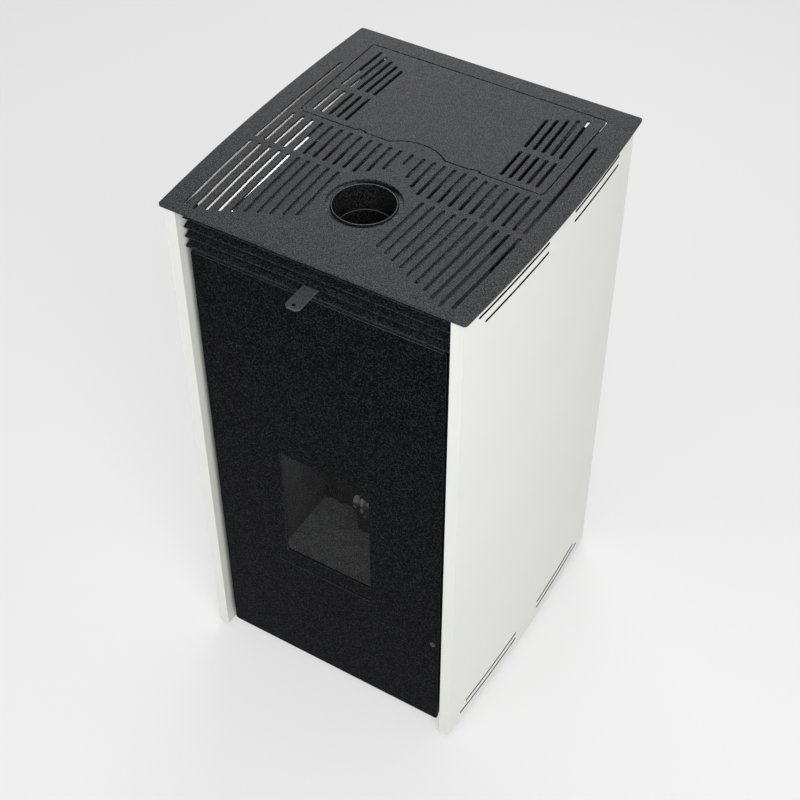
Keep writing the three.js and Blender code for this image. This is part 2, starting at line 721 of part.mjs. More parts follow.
// The hole that lets the chute through a sheet lying between two places along y.
const chuteLine = (foot, head, end) => (y) => foot + (head - foot) * (y - chute.foot) / (end - chute.foot);
const chuteFloor = chuteLine(chute.floorFoot, chute.floorHead, chute.head);
const chuteRoof = chuteLine(chute.roofFoot, chute.roofTop, chute.roofEnd);
const chuteHole = (front, back) => block(-throatHalf, throatHalf, front - 1, back + 1,
  chuteFloor(front) - chuteClear, chuteRoof(back) + chuteClear);

function firebox() {
  const s = fireSheet;
  const shell = cut(
    block(-fireHalf, fireHalf, behindFrame, fireBack, fireFloor - s, fireTop),
    block(-fireHalf + s, fireHalf - s, behindFrame - 1, fireBack - s, fireFloor, fireTop - s),
    block(-pot.half + 6, pot.half - 6, pot.front + 8, pot.back - 6, fireFloor - s - 1, fireFloor + 1),
    chuteHole(fireBack - s, fireBack),
    rod('y', igniterPlace.x, igniterPlace.z, 5 + running, fireBack - s - 1, fireBack + 1, 16),
    block(-smokeHole.half, smokeHole.half, smokeHole.front, smokeHole.back, fireTop - s - 1, fireTop + 1),
  );
  const ledge = (x0, x1) => block(x0, x1, baffle.front, lining.front - 2, baffle.bottom - 5, baffle.bottom - seat);
  return join(shell, ledge(-fireHalf + s - 0.5, -100), ledge(100, fireHalf - s + 0.5));
}

// Vermiculite lining with upright flutes, and an alcove for the pot and chute.
function backLining() {
  const half = fireHalf - fireSheet - seat;
  const back = fireBack - fireSheet - seat;
  const pitch = 2 * half / lining.grooves;
  const face = steps(lining.grooves).flatMap((i) => {
    const x = -half + pitch * i;
    return [
      [x, lining.front], [x + pitch * 0.3, lining.front],
      [x + pitch * 0.4, lining.front + lining.groove], [x + pitch * 0.9, lining.front + lining.groove],
    ];
  });
  const outline = points(...face, [half, lining.front], [half, back], [-half, back]);
  return cut(
    prism(outline, 'z', fireFloor + seat, lining.top),
    block(-alcoveHalf, alcoveHalf, lining.front - 1, back + 1, fireFloor, chuteRoof(back) + chuteClear),
  );
}

function bafflePlate() {
  const half = fireHalf - fireSheet - seat;
  const back = fireBack - fireSheet - seat;
  const slope = 4;
  const profile = points(
    [baffle.front, baffle.bottom], [back, baffle.bottom],
    [back, baffle.bottom + baffle.thick], [baffle.front + slope, baffle.bottom + baffle.thick],
    [baffle.front, baffle.bottom + baffle.thick - slope],
  );
  return prism(profile, 'x', -half, half);
}

function burnPot() {
  const base = fireFloor + seat;
  const { half, front, back, top, wall, rim } = pot;
  const outer = taper([-half + 4, half - 4, front + 4, back - 4], base, [-half, half, front, back], top);
  const lip = block(-half - rim, half + rim, front - rim, back + rim - 0.5, top - 3, top);
  const hollow = taper([-14, 14, front + 16, back - 16], base + 6,
    [-half + wall, half - wall, front + wall, back - wall], top + 0.01);
  const grate = [-9, 0, 9].map((x) => block(x - 2, x + 2, front + 18, back - 18, base - 1, base + 7));
  const spark = rod('y', igniterPlace.x, igniterPlace.z, 4, back - 22, back + 2, 8);
  return cut(join(outer, lip), hollow, grate, spark);
}

function igniter() {
  const { x, z } = igniterPlace;
  const flange = jacketBack + seat;
  const tip = pot.back - 1.4;
  return turned([[0, tip], [3, tip], [5, tip + 2], [5, flange], [10, flange], [10, flange + 3],
    [7, flange + 3], [7, flange + 34], [3, flange + 38], [0, flange + 38]], 'y', [x, 0, z], 12);
}

function ashCompartment() {
  const s = ashSheet;
  const top = fireFloor - fireSheet - seat;
  const back = fireBack - 1;
  return cut(
    block(-ashHalf, ashHalf, behindFrame, back, panFloor + seat, top),
    block(-ashHalf + s, ashHalf - s, behindFrame - 1, back - s, ashFloor, top - s),
    block(-ashHalf + s, ashHalf - s, behindFrame - 1, back - s, panFloor, ashFloor - 2),
    block(-pot.half + 4, pot.half - 4, pot.front + 6, pot.back - 4, top - s - 1, top + 1),
    rod('y', airPipe.x, airPipe.z, airPipe.radius - airPipe.wall, back - s - 1, back + 1, 24),
  );
}

function ashDrawer() {
  const base = ashFloor + seat;
  const { half, front, back, height } = drawer;
  const s = ashSheet;
  const tray = cut(
    taper([-half, half, front, back], base, [-half, half, front, back], base + height),
    taper([-half + s, half - s, front + s, back - s - 8], base + s,
      [-half + s, half - s, front + s, back - s], base + height + 1),
  );
  const bail = cut(
    prism(roundedRect(-45, 45, base + 40, base + 64, 8, 3), 'y', front - 13, front - 10),
    prism(roundedRect(-39, 39, base + 46, base + 58, 4, 2), 'y', front - 14, front - 9),
  );
  const arms = [-45, 39].map((x) => block(x, x + 6, front - 11, front + 0.5, base + 49, base + 55));
  return join(tray, bail, arms);
}

// ---------------------------------------------------------------- smoke path

function smokeChest() {
  const { half, back, top } = smokeBox;
  const s = jacketSheet;
  const front = behindFrame + seat;
  return cut(
    block(-half, half, front, back, fireTop + seat, top),
    block(-half + s, half - s, front + s, back - s, fireTop, top - s),
    block(pullCentre - 5, pullCentre + 5, front + s + 1, combBack + 1, top - s - 1, top + 1),
    rod('y', fan.x, fan.z, 33, back - s - 1, back + 1, 24),
  );
}

function exchangerFins() {
  const top = smokeBox.top - jacketSheet - seat;
  const front = behindFrame + seat + jacketSheet + 1;
  const back = smokeBox.back - jacketSheet - 1;
  const fins = finPlaces.map((x) => block(x - finSheet / 2, x + finSheet / 2, front, back, finBottom, top));
  const strap = cut(
    block(finPlaces[0], finPlaces.at(-1), front, back, top - 2.5, top),
    block(pullCentre - 6, pullCentre + 6, front - 1, combBack + 2, top - 4, top + 1),
  );
  return join(strap, fins);
}

function scraperComb() {
  const edge = smokeBox.half - jacketSheet - 3;
  const base = finBottom - 15;
  const plate = block(-edge, edge, combBack - combSheet, combBack, base, combTop);
  const gaps = finPlaces.map((x) => {
    const half = finSheet / 2 + running;
    return block(x - half, x + half, combBack - combSheet - 1, combBack + 1, finBottom - 1.5, combTop + 1);
  });
  return cut(plate, gaps);
}

// The tab in the louvre, with a tang down to the comb.
function scraperPull() {
  const half = pullWidth / 2;
  const bottom = pullTop - pullSheet;
  const clip = 4;
  const outline = points(
    [pullCentre - half + clip, pullTip], [pullCentre + half - clip, pullTip], [pullCentre + half, pullTip + clip],
    [pullCentre + half, combBack], [pullCentre - half, combBack], [pullCentre - half, pullTip + clip],
  );
  const eye = circle(pullCentre, pullTip + pullHoleInset, pullHoleRadius, 16);
  const tab = prism(outline, 'z', bottom, pullTop, [eye]);
  const tang = block(pullCentre - 4, pullCentre + 4, combBack - combSheet, combBack, combTop + seat, bottom + 0.5);
  return join(tab, tang);
}

// Snail outline in (x, z): a spiral from the tongue round to the neck, moved inwards by a distance.
function snail(inset, neckTop) {
  const turns = 18;
  const spiral = steps(turns + 1).map((i) => {
    const share = i / turns;
    const angle = -share * 1.5 * Math.PI;
    const radius = fan.end + (fan.start - fan.end) * share - inset;
    return [fan.x + radius * Math.cos(angle), fan.z + radius * Math.sin(angle)];
  });
  return points([neckHalf - inset, neckTop], ...spiral, [-neckHalf + inset, fan.z + fan.start - inset], [-neckHalf + inset, neckTop]);
}

function extractorHousing() {
  const { x, z, front, back, wall } = fan;
  return cut(
    prism(snail(0, neckTop), 'y', front, back),
    prism(snail(wall, neckTop + 1), 'y', front + wall, back - wall),
    rod('y', x, z, 32, front - 1, front + wall + 1, 24),
    rod('y', x, z, 8, back - wall - 1, back + 1),
  );
}

function impeller() {
  const { x, z, back, wall } = fan;
  const disc = back - wall - 5;
  const hub = turned([[0, disc - 14], [5, disc - 14], [12, disc - 6], [12, disc + 2.5], [4, disc + 2.5],
    [4, back + 12], [0, back + 12]], 'y', [x, 0, z], 14);
  const plate = rod('y', x, z, impellerRadius, disc, disc + 2, 30);
  const blades = steps(impellerBlades).map((i) => {
    const geometry = new THREE.BoxGeometry(impellerRadius - 22, 44, 1.5);
    geometry.rotateY(0.5);
    geometry.translate((impellerRadius + 18) / 2, disc - 21.5, 6);
    geometry.rotateY(2 * Math.PI * i / impellerBlades);
    geometry.translate(x, 0, z);
    return solidOf(geometry);
  });
  return join(plate, hub, blades);
}

function extractorMotor() {
  const { x, z, back } = fan;
  const from = back + seat;
  const rib = (at) => [[34, at], [38, at], [38, at + 6], [34, at + 6]];
  const body = turned([[0, from], [46, from], [46, from + 2], [34, from + 2], ...rib(from + 8), ...rib(from + 22),
    [34, from + 36], [26, from + 42], [0, from + 42]], 'y', [x, 0, z], 18);
  return cut(body, rod('y', x, z, 4 + seat, from - 1, back + 13, 12));
}

function flueCollar() {
  const outer = flueOuter / 2;
  const inner = outer - flueWall;
  const base = neckTop + seat;
  const top = stoveHeight - flueRimDrop;
  const tube = turned([[inner, base], [outer, base], [outer, top], [inner, top], [inner, flueStepHeight + 2],
    [inner - flueStep, flueStepHeight + 2], [inner - flueStep, flueStepHeight], [inner, flueStepHeight],
    [inner, base]], 'z', [0, flueY, 0], 36);
  const flange = prism(roundedRect(-outer - 4, outer + 4, flueY - outer - 3, flueY + outer + 3, 8, 3), 'z', base, base + 2,
    [circle(0, flueY, inner + 0.5, 32)]);
  return join(tube, flange);
}

// ---------------------------------------------------------------- pellet path

const tilt = THREE.MathUtils.degToRad(augerTilt);

// The auger's outer cylinder with its seating gap, in the stove's frame, to cut saddles.
function augerSaddle() {
  const length = 2 * (augerLower - augerUpper);
  const geometry = new THREE.CylinderGeometry(augerOuter + seat, augerOuter + seat, length, 32);
  geometry.rotateX(-tilt);
  geometry.translate(0, augerPlace.y, augerPlace.z);
  return solidOf(geometry);
}

const hopperPlan = (inset) => [-hopperHalf + inset, hopperHalf - inset, hopperFront + inset, hopperBack - inset];
const throatPlan = (inset) => [-throatHalf + inset, throatHalf - inset,
  augerPlace.y - throatHalf + inset, augerPlace.y + throatHalf - inset];

// The upper part: four upright walls with a flange round the lid's opening.
function hopper() {
  const w = hopperWall;
  const flange = block(-hopperHalf - 2, hopperHalf + 2, hopperFlangeFront, hopperBack + 2, carried - w, carried);
  const walls = taper(hopperPlan(0), hopperShoulder, hopperPlan(0), carried);
  return cut(join(walls, flange), taper(hopperPlan(w), hopperShoulder - 1, hopperPlan(w), carried + 1));
}

// The lower part narrows from the walls to the throat.
function hopperFunnel() {
  const w = hopperWall;
  const top = hopperShoulder - seat;
  const rim = taper(hopperPlan(-hopperRim), top - w, hopperPlan(-hopperRim), top);
  const hollow = join(
    taper(throatPlan(w), throatTop - 1, throatPlan(w), throatTop),
    taper(throatPlan(w), throatTop, hopperPlan(w), top),
    taper(hopperPlan(w), top, hopperPlan(w), top + 1),
  );
  return cut(join(taper(throatPlan(0), throatTop, hopperPlan(0), top), rim), hollow);
}

// A square tube that sits on the auger tube and carries the funnel.
function hopperThroat() {
  const top = throatTop - seat;
  const tube = taper(throatPlan(0), throatBottom, throatPlan(0), top);
  const bore = taper(throatPlan(hopperWall), throatBottom - 1, throatPlan(hopperWall), top + 1);
  return cut(tube, bore, augerSaddle());
}

function hopperGrid() {
  const edge = hopperHalf - hopperWall - seat;
  const [front, back] = [hopperFront + hopperWall + seat, hopperBack - hopperWall - seat];
  const [columns, rows, bar] = [6, 3, 2];
  const [width, depth] = [2 * edge / columns, (back - front) / rows];
  const holes = between(-edge, edge, columns).slice(1).flatMap((x) => between(front, back, rows).slice(1).map((y) =>
    points([x - width + bar, y - depth + bar], [x - bar, y - depth + bar], [x - bar, y - bar], [x - width + bar, y - bar])));
  const outline = points([-edge, front], [edge, front], [edge, back], [-edge, back]);
  return prism(outline, 'z', gridBottom, gridBottom + 3, holes);
}

// The three auger pieces lie along y in their own tilted group.
function augerTube() {
  const barrel = cut(
    rod('y', 0, 0, augerOuter, augerUpper - 2, augerLower, 22),
    rod('y', 0, 0, augerInner, augerUpper, augerLower + 1, 22),
    rod('y', 0, 0, augerShaft + 0.6, augerUpper - 3, augerUpper + 1, 12),
  );
  const inlet = block(-22, 22, -52, 3, 4, augerOuter + 1);
  const outlet = block(-20, 20, augerUpper + 5, augerUpper + 42, -augerOuter - 1, -4);
  return cut(barrel, inlet, outlet);
}

function augerScrew() {
  const [from, to] = [augerUpper + 6, augerLower - 2];
  const turns = (to - from) / augerPitch;
  const count = Math.round(turns * 10);
  const half = 1.5;
  const place = [];
  steps(count + 1).forEach((i) => {
    const y = from + (to - from) * i / count;
    const angle = 2 * Math.PI * turns * i / count;
    const [c, s] = [Math.cos(angle), Math.sin(angle)];
    [[augerShaft - 1, -half], [augerFlight, -half], [augerFlight, half], [augerShaft - 1, half]].forEach(([r, lift]) =>
      place.push(r * c, y + lift, r * s));
  });
  const index = [0, 2, 1, 0, 3, 2];
  steps(count).forEach((i) => steps(4).forEach((k) => {
    const [a, b] = [4 * i + k, 4 * i + (k + 1) % 4];
    index.push(a, b, b + 4, a, b + 4, a + 4);
  }));
  const last = 4 * count;
  index.push(last, last + 1, last + 2, last, last + 2, last + 3);
  const flight = new THREE.BufferGeometry();
  flight.setAttribute('position', new THREE.BufferAttribute(new Float32Array(place), 3));
  flight.setIndex(index);
  return join(solidOf(flight), rod('y', 0, 0, augerShaft, augerUpper - 5, augerLower + 8, 10));
}

function gearmotor() {
  const from = augerLower + seat;
  const body = join(
    rod('y', 0, 0, 33, from, from + 3, 20),
    prism(roundedRect(-27, 27, -27, 27, 5, 3), 'y', from + 2.5, from + 33),
    rod('y', 0, 0, 20, from + 32, from + 56, 18),
    rod('y', 0, 0, 12, from + 55, from + 61, 12),
  );
  return cut(body, rod('y', 0, 0, augerShaft + 0.6, from - 1, augerLower + 9, 12));
}

function pelletChute() {
  const { foot, head, floorFoot, floorHead, side, roofFoot, roofTop, roofEnd, wall } = chute;
  const half = throatHalf - 1;
  const outer = points([foot, floorFoot], [head, floorHead], [head, side], [roofEnd, roofTop], [foot, roofFoot]);
  const ahead = foot - 15;
  const inside = head - wall;
  const lift = 2;
  const drop = 2.7;
  const inner = points([ahead, chuteFloor(ahead) + lift], [inside, chuteFloor(inside) + lift], [inside, chuteRoof(0)],
    [0, chuteRoof(0) - drop], [ahead, chuteRoof(ahead) - drop]);
  return cut(
    prism(outer, 'x', -half, half),
    prism(inner, 'x', -half + wall, half - wall),
    augerSaddle(),
  );
}

// ---------------------------------------------------------------- convection blower

function blowerHousing() {
  const { y, z, left, right, radius, wall, top } = blower;
  const outline = (inset, rim, from, to) => join(
    rod('x', y, z, radius + wall - inset, from, to, 22),
    block(from, to, y - radius - wall + inset, y + 2 - inset, z, rim),
  );
  const shell = cut(outline(0, top, left, right), outline(wall, top + 1, left + wall, right - wall));
  const mouth = prism(points([y + 10, z - 8], [y + 60, z - 40], [y + 60, z + 60], [y + 10, z + 18]), 'x',
    left + wall + 4, right - wall - 4);
  const shafts = [left - 1, right - wall - 1].map((x) => rod('x', y, z, 6, x, x + wall + 2, 16));
  const legs = [left + 14, right - 26].map((x) => block(x, x + 12, y - 14, y + 14, panFloor + seat, z - radius + 0.5));
  return cut(join(shell, legs), mouth, shafts);
}

function blowerRotor() {
  const { y, z, left, right, wall } = blower;
  const [from, to] = [left + wall + 1.5, right - wall - 1.5];
  const reach = 32;
  const discs = [from, to - 2].map((x) => rod('x', y, z, reach, x, x + 2, 24));
  const blades = steps(blowerBlades).map((i) => {
    const geometry = new THREE.BoxGeometry(to - from - 2, 1.2, 8);
    geometry.rotateX(0.6);
    geometry.translate((from + to) / 2, 0, reach - 4.5);
    geometry.rotateX(2 * Math.PI * i / blowerBlades);
    geometry.translate(0, y, z);
    return solidOf(geometry);
  });
  return join(discs, blades, rod('x', y, z, 4, left - 4, right + 10, 16));
}

function blowerMotor() {
  const { y, z, right } = blower;
  const from = right + seat;
  const body = turned([[0, from], [30, from], [30, from + 2], [24, from + 4], [24, from + 30], [18, from + 36],
    [0, from + 36]], 'x', [0, y, z], 16);
  return cut(body, rod('x', y, z, 4 + seat, from - 1, right + 11, 16));
}

// ---------------------------------------------------------------- air pipe and electrics

function combustionAirPipe() {
  const { x, z, radius, wall, back } = airPipe;
  const front = fireBack - 1 + seat;
  const collar = backPanelOuter + seat;
  return turned([[radius - wall, front], [radius, front], [radius, collar], [radius + 6, collar],
    [radius + 6, collar + 2], [radius, collar + 2], [radius, back], [radius - wall, back],
    [radius - wall, front]], 'y', [x, 0, z], 20);
}

function controlBoard() {
  const face = backPanelInner - seat - 5;
  const { left, width, bottom, height } = boardPlace;
  const [right, top] = [left + width, bottom + height];
  const on = (x, z, across, up, tall) => block(left + x, left + x + across, face - tall, face - 1.4, bottom + z, bottom + z + up);
  const board = block(left, right, face - 1.6, face, bottom, top);
  const posts = [left + 6, right - 6].flatMap((x) =>
    [bottom + 6, top - 6].map((z) => rod('y', x, z, 3, face - 0.2, face + 5, 8)));
  const relays = steps(4).map((i) => on(6 + 26 * i, 12, 18, 26, 16));
  const chip = on(40, 60, 28, 28, 4);
  const transformer = on(10, 102, 42, 38, 34);
  const capacitors = [70, 88].map((x) => rod('y', left + x, bottom + 122, 7, face - 26, face - 1.4, 12));
  return join(board, posts, relays, chip, transformer, capacitors);
}

// Mains socket and switch bezel in one moulding.
function powerInlet() {
  const { x, z } = inletPlace;
  const outer = backPanelOuter + seat;
  const top = rockerPlace.z + 16;
  const flange = prism(roundedRect(x - 20, x + 20, z - 17, top, 4, 2), 'y', outer, outer + 2);
  const body = block(x - 14, x + 14, outer - 26, outer + 0.5, z - 12, rockerPlace.z + 11);
  const socket = prism(points([x - 12, z - 8], [x + 12, z - 8], [x + 12, z + 5], [x + 8, z + 9], [x - 8, z + 9],
    [x - 12, z + 5]), 'y', outer - 16, outer + 3);
  const blades = [-6, 0, 6].map((dx) => block(x + dx - 1, x + dx + 1, outer - 17, outer - 3, z - 3, z + 3));
  const well = block(x - 8, x + 8, outer - 14, outer + 3, rockerPlace.z - 9.5, rockerPlace.z + 9.5);
  return join(cut(join(flange, body), socket, well), blades);
}

function rocker() {
  const { x, z } = rockerPlace;
  const face = backPanelOuter + seat + 2;
  const profile = points([face - 9, z - 3], [face - 2, z - 7.4], [face + 0.2, z - 7.4], [face + 1, z],
    [face + 2.4, z + 7.4], [face - 1, z + 7.4], [face - 9, z + 3]);
  return prism(profile, 'x', x - 8 + seat, x + 8 - seat);
}

function safetyThermostat() {
  const outer = backPanelOuter + seat;
  return turned([[0, outer - 18], [7, outer - 18], [7, outer], [11, outer], [11, outer + 3], [9, outer + 9],
    [0, outer + 9]], 'y', [thermostatPlace.x, 0, thermostatPlace.z], 14);
}

// ---------------------------------------------------------------- assembly

const stove = new THREE.Group();
// The origin is under the middle of the whole stove, pull tab and air pipe included.
stove.position.y = -(pullTip + airPipe.back) / 2;

function group(parent, ...members) {
  const holder = new THREE.Group();
  holder.add(...members);
  parent.add(holder);
  return holder;
}

function placed(mesh, x, y, z) {
  mesh.position.set(x, y, z);
  return mesh;
}

group(stove,
  piece('top_plate', topPlate(), finish.anthracite),
  piece('left_side_panel', sidePanel(-1), finish.panel),
  piece('right_side_panel', sidePanel(1), finish.panel),
  piece('back_panel', backPanel(), finish.black),
  piece('front_louvre', louvre(), finish.black),
  piece('front_frame', frontFrame(), finish.black),
  piece('convection_jacket', convectionJacket(), finish.anthracite),
  piece('base_pan', basePan(), finish.galvanised));

const { side: footSide, front: footFront, back: footBack } = footPlaces;
const feet = [[-footSide, footFront], [footSide, footFront], [-footSide, footBack], [footSide, footBack]];
group(stove, ...feet.map(([x, y], i) =>
  placed(piece(`levelling_foot_${i + 1}`, levellingFoot(), finish.plastic), x, y, 0)));

const lid = group(stove, piece('hopper_lid', hopperLid(), finish.anthracite));
[['left', -1], ['right', 1]].forEach(([word, side]) => {
  const x = side * lidArmPlace;
  lid.add(placed(piece(`lid_hinge_arm_${word}`, lidArm(), finish.black), x, 0, 0));
  stove.add(placed(piece(`lid_hinge_bracket_${word}`, lidBracket(side), finish.black), x, 0, 0));
  stove.add(placed(piece(`lid_hinge_pin_${word}`, lidPin(side), finish.steel), x, 0, 0));
});

group(stove,
  piece('door_glass', doorGlass(), finish.glass),
  piece('door_frame', doorFrame(), finish.black),
  piece('door_gasket', doorRope(), finish.rope),
  piece('latch_spindle', latchSpindle(), finish.steel));
['lower', 'upper'].forEach((word, i) => {
  stove.add(piece(`door_hinge_bracket_${word}`, hingeBracket(hingeHeights[i]), finish.black));
  stove.add(piece(`door_hinge_pin_${word}`, hingePin(hingeHeights[i]), finish.steel));
});
stove.add(piece('latch_keeper', latchKeeper(), finish.steel));

group(stove,
  piece('firebox', firebox(), finish.black),
  piece('back_lining', backLining(), finish.brick),
  piece('baffle_plate', bafflePlate(), finish.brick),
  piece('burn_pot', burnPot(), finish.castIron),
  piece('igniter', igniter(), finish.steel),
  piece('ash_compartment', ashCompartment(), finish.galvanised),
  piece('ash_drawer', ashDrawer(), finish.galvanised));

group(stove,
  piece('smoke_box', smokeChest(), finish.black),
  piece('exchanger_fins', exchangerFins(), finish.steel),
  piece('scraper_comb', scraperComb(), finish.steel),
  piece('scraper_pull', scraperPull(), finish.anthracite),
  piece('extractor_housing', extractorHousing(), finish.galvanised),
  piece('extractor_impeller', impeller(), finish.steel),
  piece('extractor_motor', extractorMotor(), finish.plastic),
  piece('flue_collar', flueCollar(), finish.black));

group(stove,
  piece('hopper', hopper(), finish.anthracite),
  piece('hopper_funnel', hopperFunnel(), finish.galvanised),
  piece('hopper_throat', hopperThroat(), finish.galvanised),
  piece('hopper_grid', hopperGrid(), finish.steel),
  piece('pellet_chute', pelletChute(), finish.black));
const feed = group(stove,
  piece('auger_tube', augerTube(), finish.galvanised),
  piece('auger_screw', augerScrew(), finish.steel),
  piece('auger_gearmotor', gearmotor(), finish.plastic));
feed.position.set(0, augerPlace.y, augerPlace.z);
feed.rotation.x = -tilt;

group(stove,
  piece('blower_housing', blowerHousing(), finish.galvanised),
  piece('blower_rotor', blowerRotor(), finish.steel),
  piece('blower_motor', blowerMotor(), finish.plastic),
  piece('air_intake_pipe', combustionAirPipe(), finish.galvanised),
  piece('control_board', controlBoard(), finish.board),
  piece('power_inlet', powerInlet(), finish.plastic),
  piece('power_switch', rocker(), finish.plastic),
  piece('safety_thermostat', safetyThermostat(), finish.plastic));

export default stove;
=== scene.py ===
"""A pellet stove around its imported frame: finishes, door glass, door rope, small hardware, fuel and ash."""
import math
import random

import bmesh
import bpy
from mathutils import Euler, Matrix, Vector, noise


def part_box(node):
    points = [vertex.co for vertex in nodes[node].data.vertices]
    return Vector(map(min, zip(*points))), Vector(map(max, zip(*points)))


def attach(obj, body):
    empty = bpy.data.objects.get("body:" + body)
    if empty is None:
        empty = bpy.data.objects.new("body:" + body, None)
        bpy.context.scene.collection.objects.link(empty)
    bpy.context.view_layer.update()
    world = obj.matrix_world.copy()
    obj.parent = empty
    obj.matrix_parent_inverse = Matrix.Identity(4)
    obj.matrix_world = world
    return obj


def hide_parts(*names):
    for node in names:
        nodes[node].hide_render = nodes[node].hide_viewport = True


MM = 0.001
PICTURE = 800                       # pixels across the picture
PICTURE_FOCAL = 1531.7              # focal length in pixels
SENSOR = 36                         # width of the camera's sensor in mm
CAMERA_PLACE = Vector((0.8065, -1.3465, 1.9844))
CAMERA_AIM = Vector((-0.0061, -0.0049, 0.42))
CAMERA_ROLL = math.radians(-0.11)
FLOOR_SIZE = 12                     # metres
FLOOR_GREY = 0.8
FLOOR_GLOW = 0.98                   # brightness of the floor's glow, which lights nothing
FLOOR_GLOW_SHARE = 0.5              # how much of the floor's look is that glow
WORLD_LIGHT = 0.42                  # strength of the world on surfaces
BACKDROP = 0.8                      # strength of the world where it is seen directly

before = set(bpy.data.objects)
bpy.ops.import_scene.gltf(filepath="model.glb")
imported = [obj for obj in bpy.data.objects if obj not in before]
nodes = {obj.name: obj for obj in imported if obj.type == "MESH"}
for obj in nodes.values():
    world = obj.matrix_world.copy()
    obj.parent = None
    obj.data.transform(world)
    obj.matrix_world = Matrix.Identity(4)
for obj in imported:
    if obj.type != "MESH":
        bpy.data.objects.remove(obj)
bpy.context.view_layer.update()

plate_low, plate_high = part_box("top_plate")
collar_low, collar_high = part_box("flue_collar")
MIDDLE_Y = (plate_low[1] + plate_high[1]) / 2
PANEL_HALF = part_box("right_side_panel")[1][0]
PANEL_BOW = 9 * MM                  # how much nearer a side panel's ends are than its middle
PANEL_HALF_DEPTH = 234 * MM
FLUE_TOP = (0.0, (collar_low[1] + collar_high[1]) / 2, collar_high[2])
FLUE_SHADOW_RADIUS = 62 * MM              # how far from the flue's top the sheets below it get a painted shadow
FLUE_SHADOW_HALF_WIDTH = 30 * MM          # half width of that painted shadow, in front of and behind the flue
FIREBOX_SHEET = 3 * MM


# ---------------------------------------------------------------- materials

class Shader:
    """One node material with short names for the nodes that it needs."""

    def __init__(self, name, **sockets):
        self.material = bpy.data.materials.new(name)
        self.material.use_nodes = True
        self.tree = self.material.node_tree
        self.bsdf = self.tree.nodes["Principled BSDF"]
        for socket, value in sockets.items():
            self.bsdf.inputs[socket.replace("_", " ")].default_value = value
        self.place = self.tree.nodes.new("ShaderNodeTexCoord").outputs["Object"]

    def link(self, output, socket):
        self.tree.links.new(output, socket)

    def noise(self, scale, detail=2.0, roughness=0.5, place=None):
        node = self.tree.nodes.new("ShaderNodeTexNoise")
        node.inputs["Scale"].default_value = scale
        node.inputs["Detail"].default_value = detail
        node.inputs["Roughness"].default_value = roughness
        self.link(place or self.place, node.inputs["Vector"])
        return node.outputs["Fac"]

    def cells(self, scale, output, feature="F1"):
        node = self.tree.nodes.new("ShaderNodeTexVoronoi")
        node.feature = feature
        node.inputs["Scale"].default_value = scale
        self.link(self.place, node.inputs["Vector"])
        return node.outputs[output]

    def stretched(self, x, y, z):
        node = self.tree.nodes.new("ShaderNodeMapping")
        node.inputs["Scale"].default_value = (x, y, z)
        self.link(self.place, node.inputs["Vector"])
        return node.outputs["Vector"]

    def ramp(self, factor, *stops):
        """stops are (position, value or colour)."""
        node = self.tree.nodes.new("ShaderNodeValToRGB")
        elements = node.color_ramp.elements
        while len(elements) < len(stops):
            elements.new(0.5)
        for element, (position, value) in zip(elements, stops):
            element.position = position
            element.color = (*value, 1) if isinstance(value, tuple) else (value, value, value, 1)
        self.link(factor, node.inputs["Fac"])
        return node.outputs["Color"]

    def mix(self, factor, a, b, blend="MIX"):
        node = self.tree.nodes.new("ShaderNodeMix")
        node.data_type = "RGBA"
        node.blend_type = blend
        for key, value in (("Factor", factor), ("A", a), ("B", b)):
            socket = node.inputs[key]
            if isinstance(value, bpy.types.NodeSocket):
                self.link(value, socket)
            else:
                socket.default_value = (*value, 1) if isinstance(value, tuple) else value
        return node.outputs["Result"]

    def axis(self, letter):
        split = self.tree.nodes.new("ShaderNodeSeparateXYZ")
        self.link(self.place, split.inputs["Vector"])
        return split.outputs[letter]

    def step(self, value, edge, blur):
        """0 below an edge of a value and 1 above it."""
        node = self.tree.nodes.new("ShaderNodeMapRange")
        node.inputs["From Min"].default_value = edge - blur
        node.inputs["From Max"].default_value = edge + blur
        self.link(value, node.inputs["Value"])
        return node.outputs["Result"]

    def above(self, height):
        """0 below a height of the stove and 1 above it."""
        return self.step(self.axis("Z"), height, 0.5 * MM)

    def beside(self, distance):
        """0 within a distance of the stove's middle plane and 1 outside it."""
        size = self.tree.nodes.new("ShaderNodeMath")
        size.operation = "ABSOLUTE"
        self.link(self.axis("X"), size.inputs[0])
        return self.step(size.outputs[0], distance, 6 * MM)

    def away_from(self, point, radius):
        """0 within a radius of a point and 1 outside it."""
        node = self.tree.nodes.new("ShaderNodeVectorMath")
        node.operation = "DISTANCE"
        node.inputs[1].default_value = point
        self.link(self.place, node.inputs[0])
        return self.step(node.outputs["Value"], radius, 2 * MM)

    def colour(self, output):
        self.link(output, self.bsdf.inputs["Base Color"])

    def rough(self, factor, low, high):
        node = self.tree.nodes.new("ShaderNodeMapRange")
        node.inputs["To Min"].default_value = low
        node.inputs["To Max"].default_value = high
        self.link(factor, node.inputs["Value"])
        self.link(node.outputs["Result"], self.bsdf.inputs["Roughness"])

    def bump(self, height, strength, distance):
        node = self.tree.nodes.new("ShaderNodeBump")
        node.inputs["Strength"].default_value = strength
        node.inputs["Distance"].default_value = distance
        self.link(height, node.inputs["Height"])
        self.link(node.outputs["Normal"], self.bsdf.inputs["Normal"])


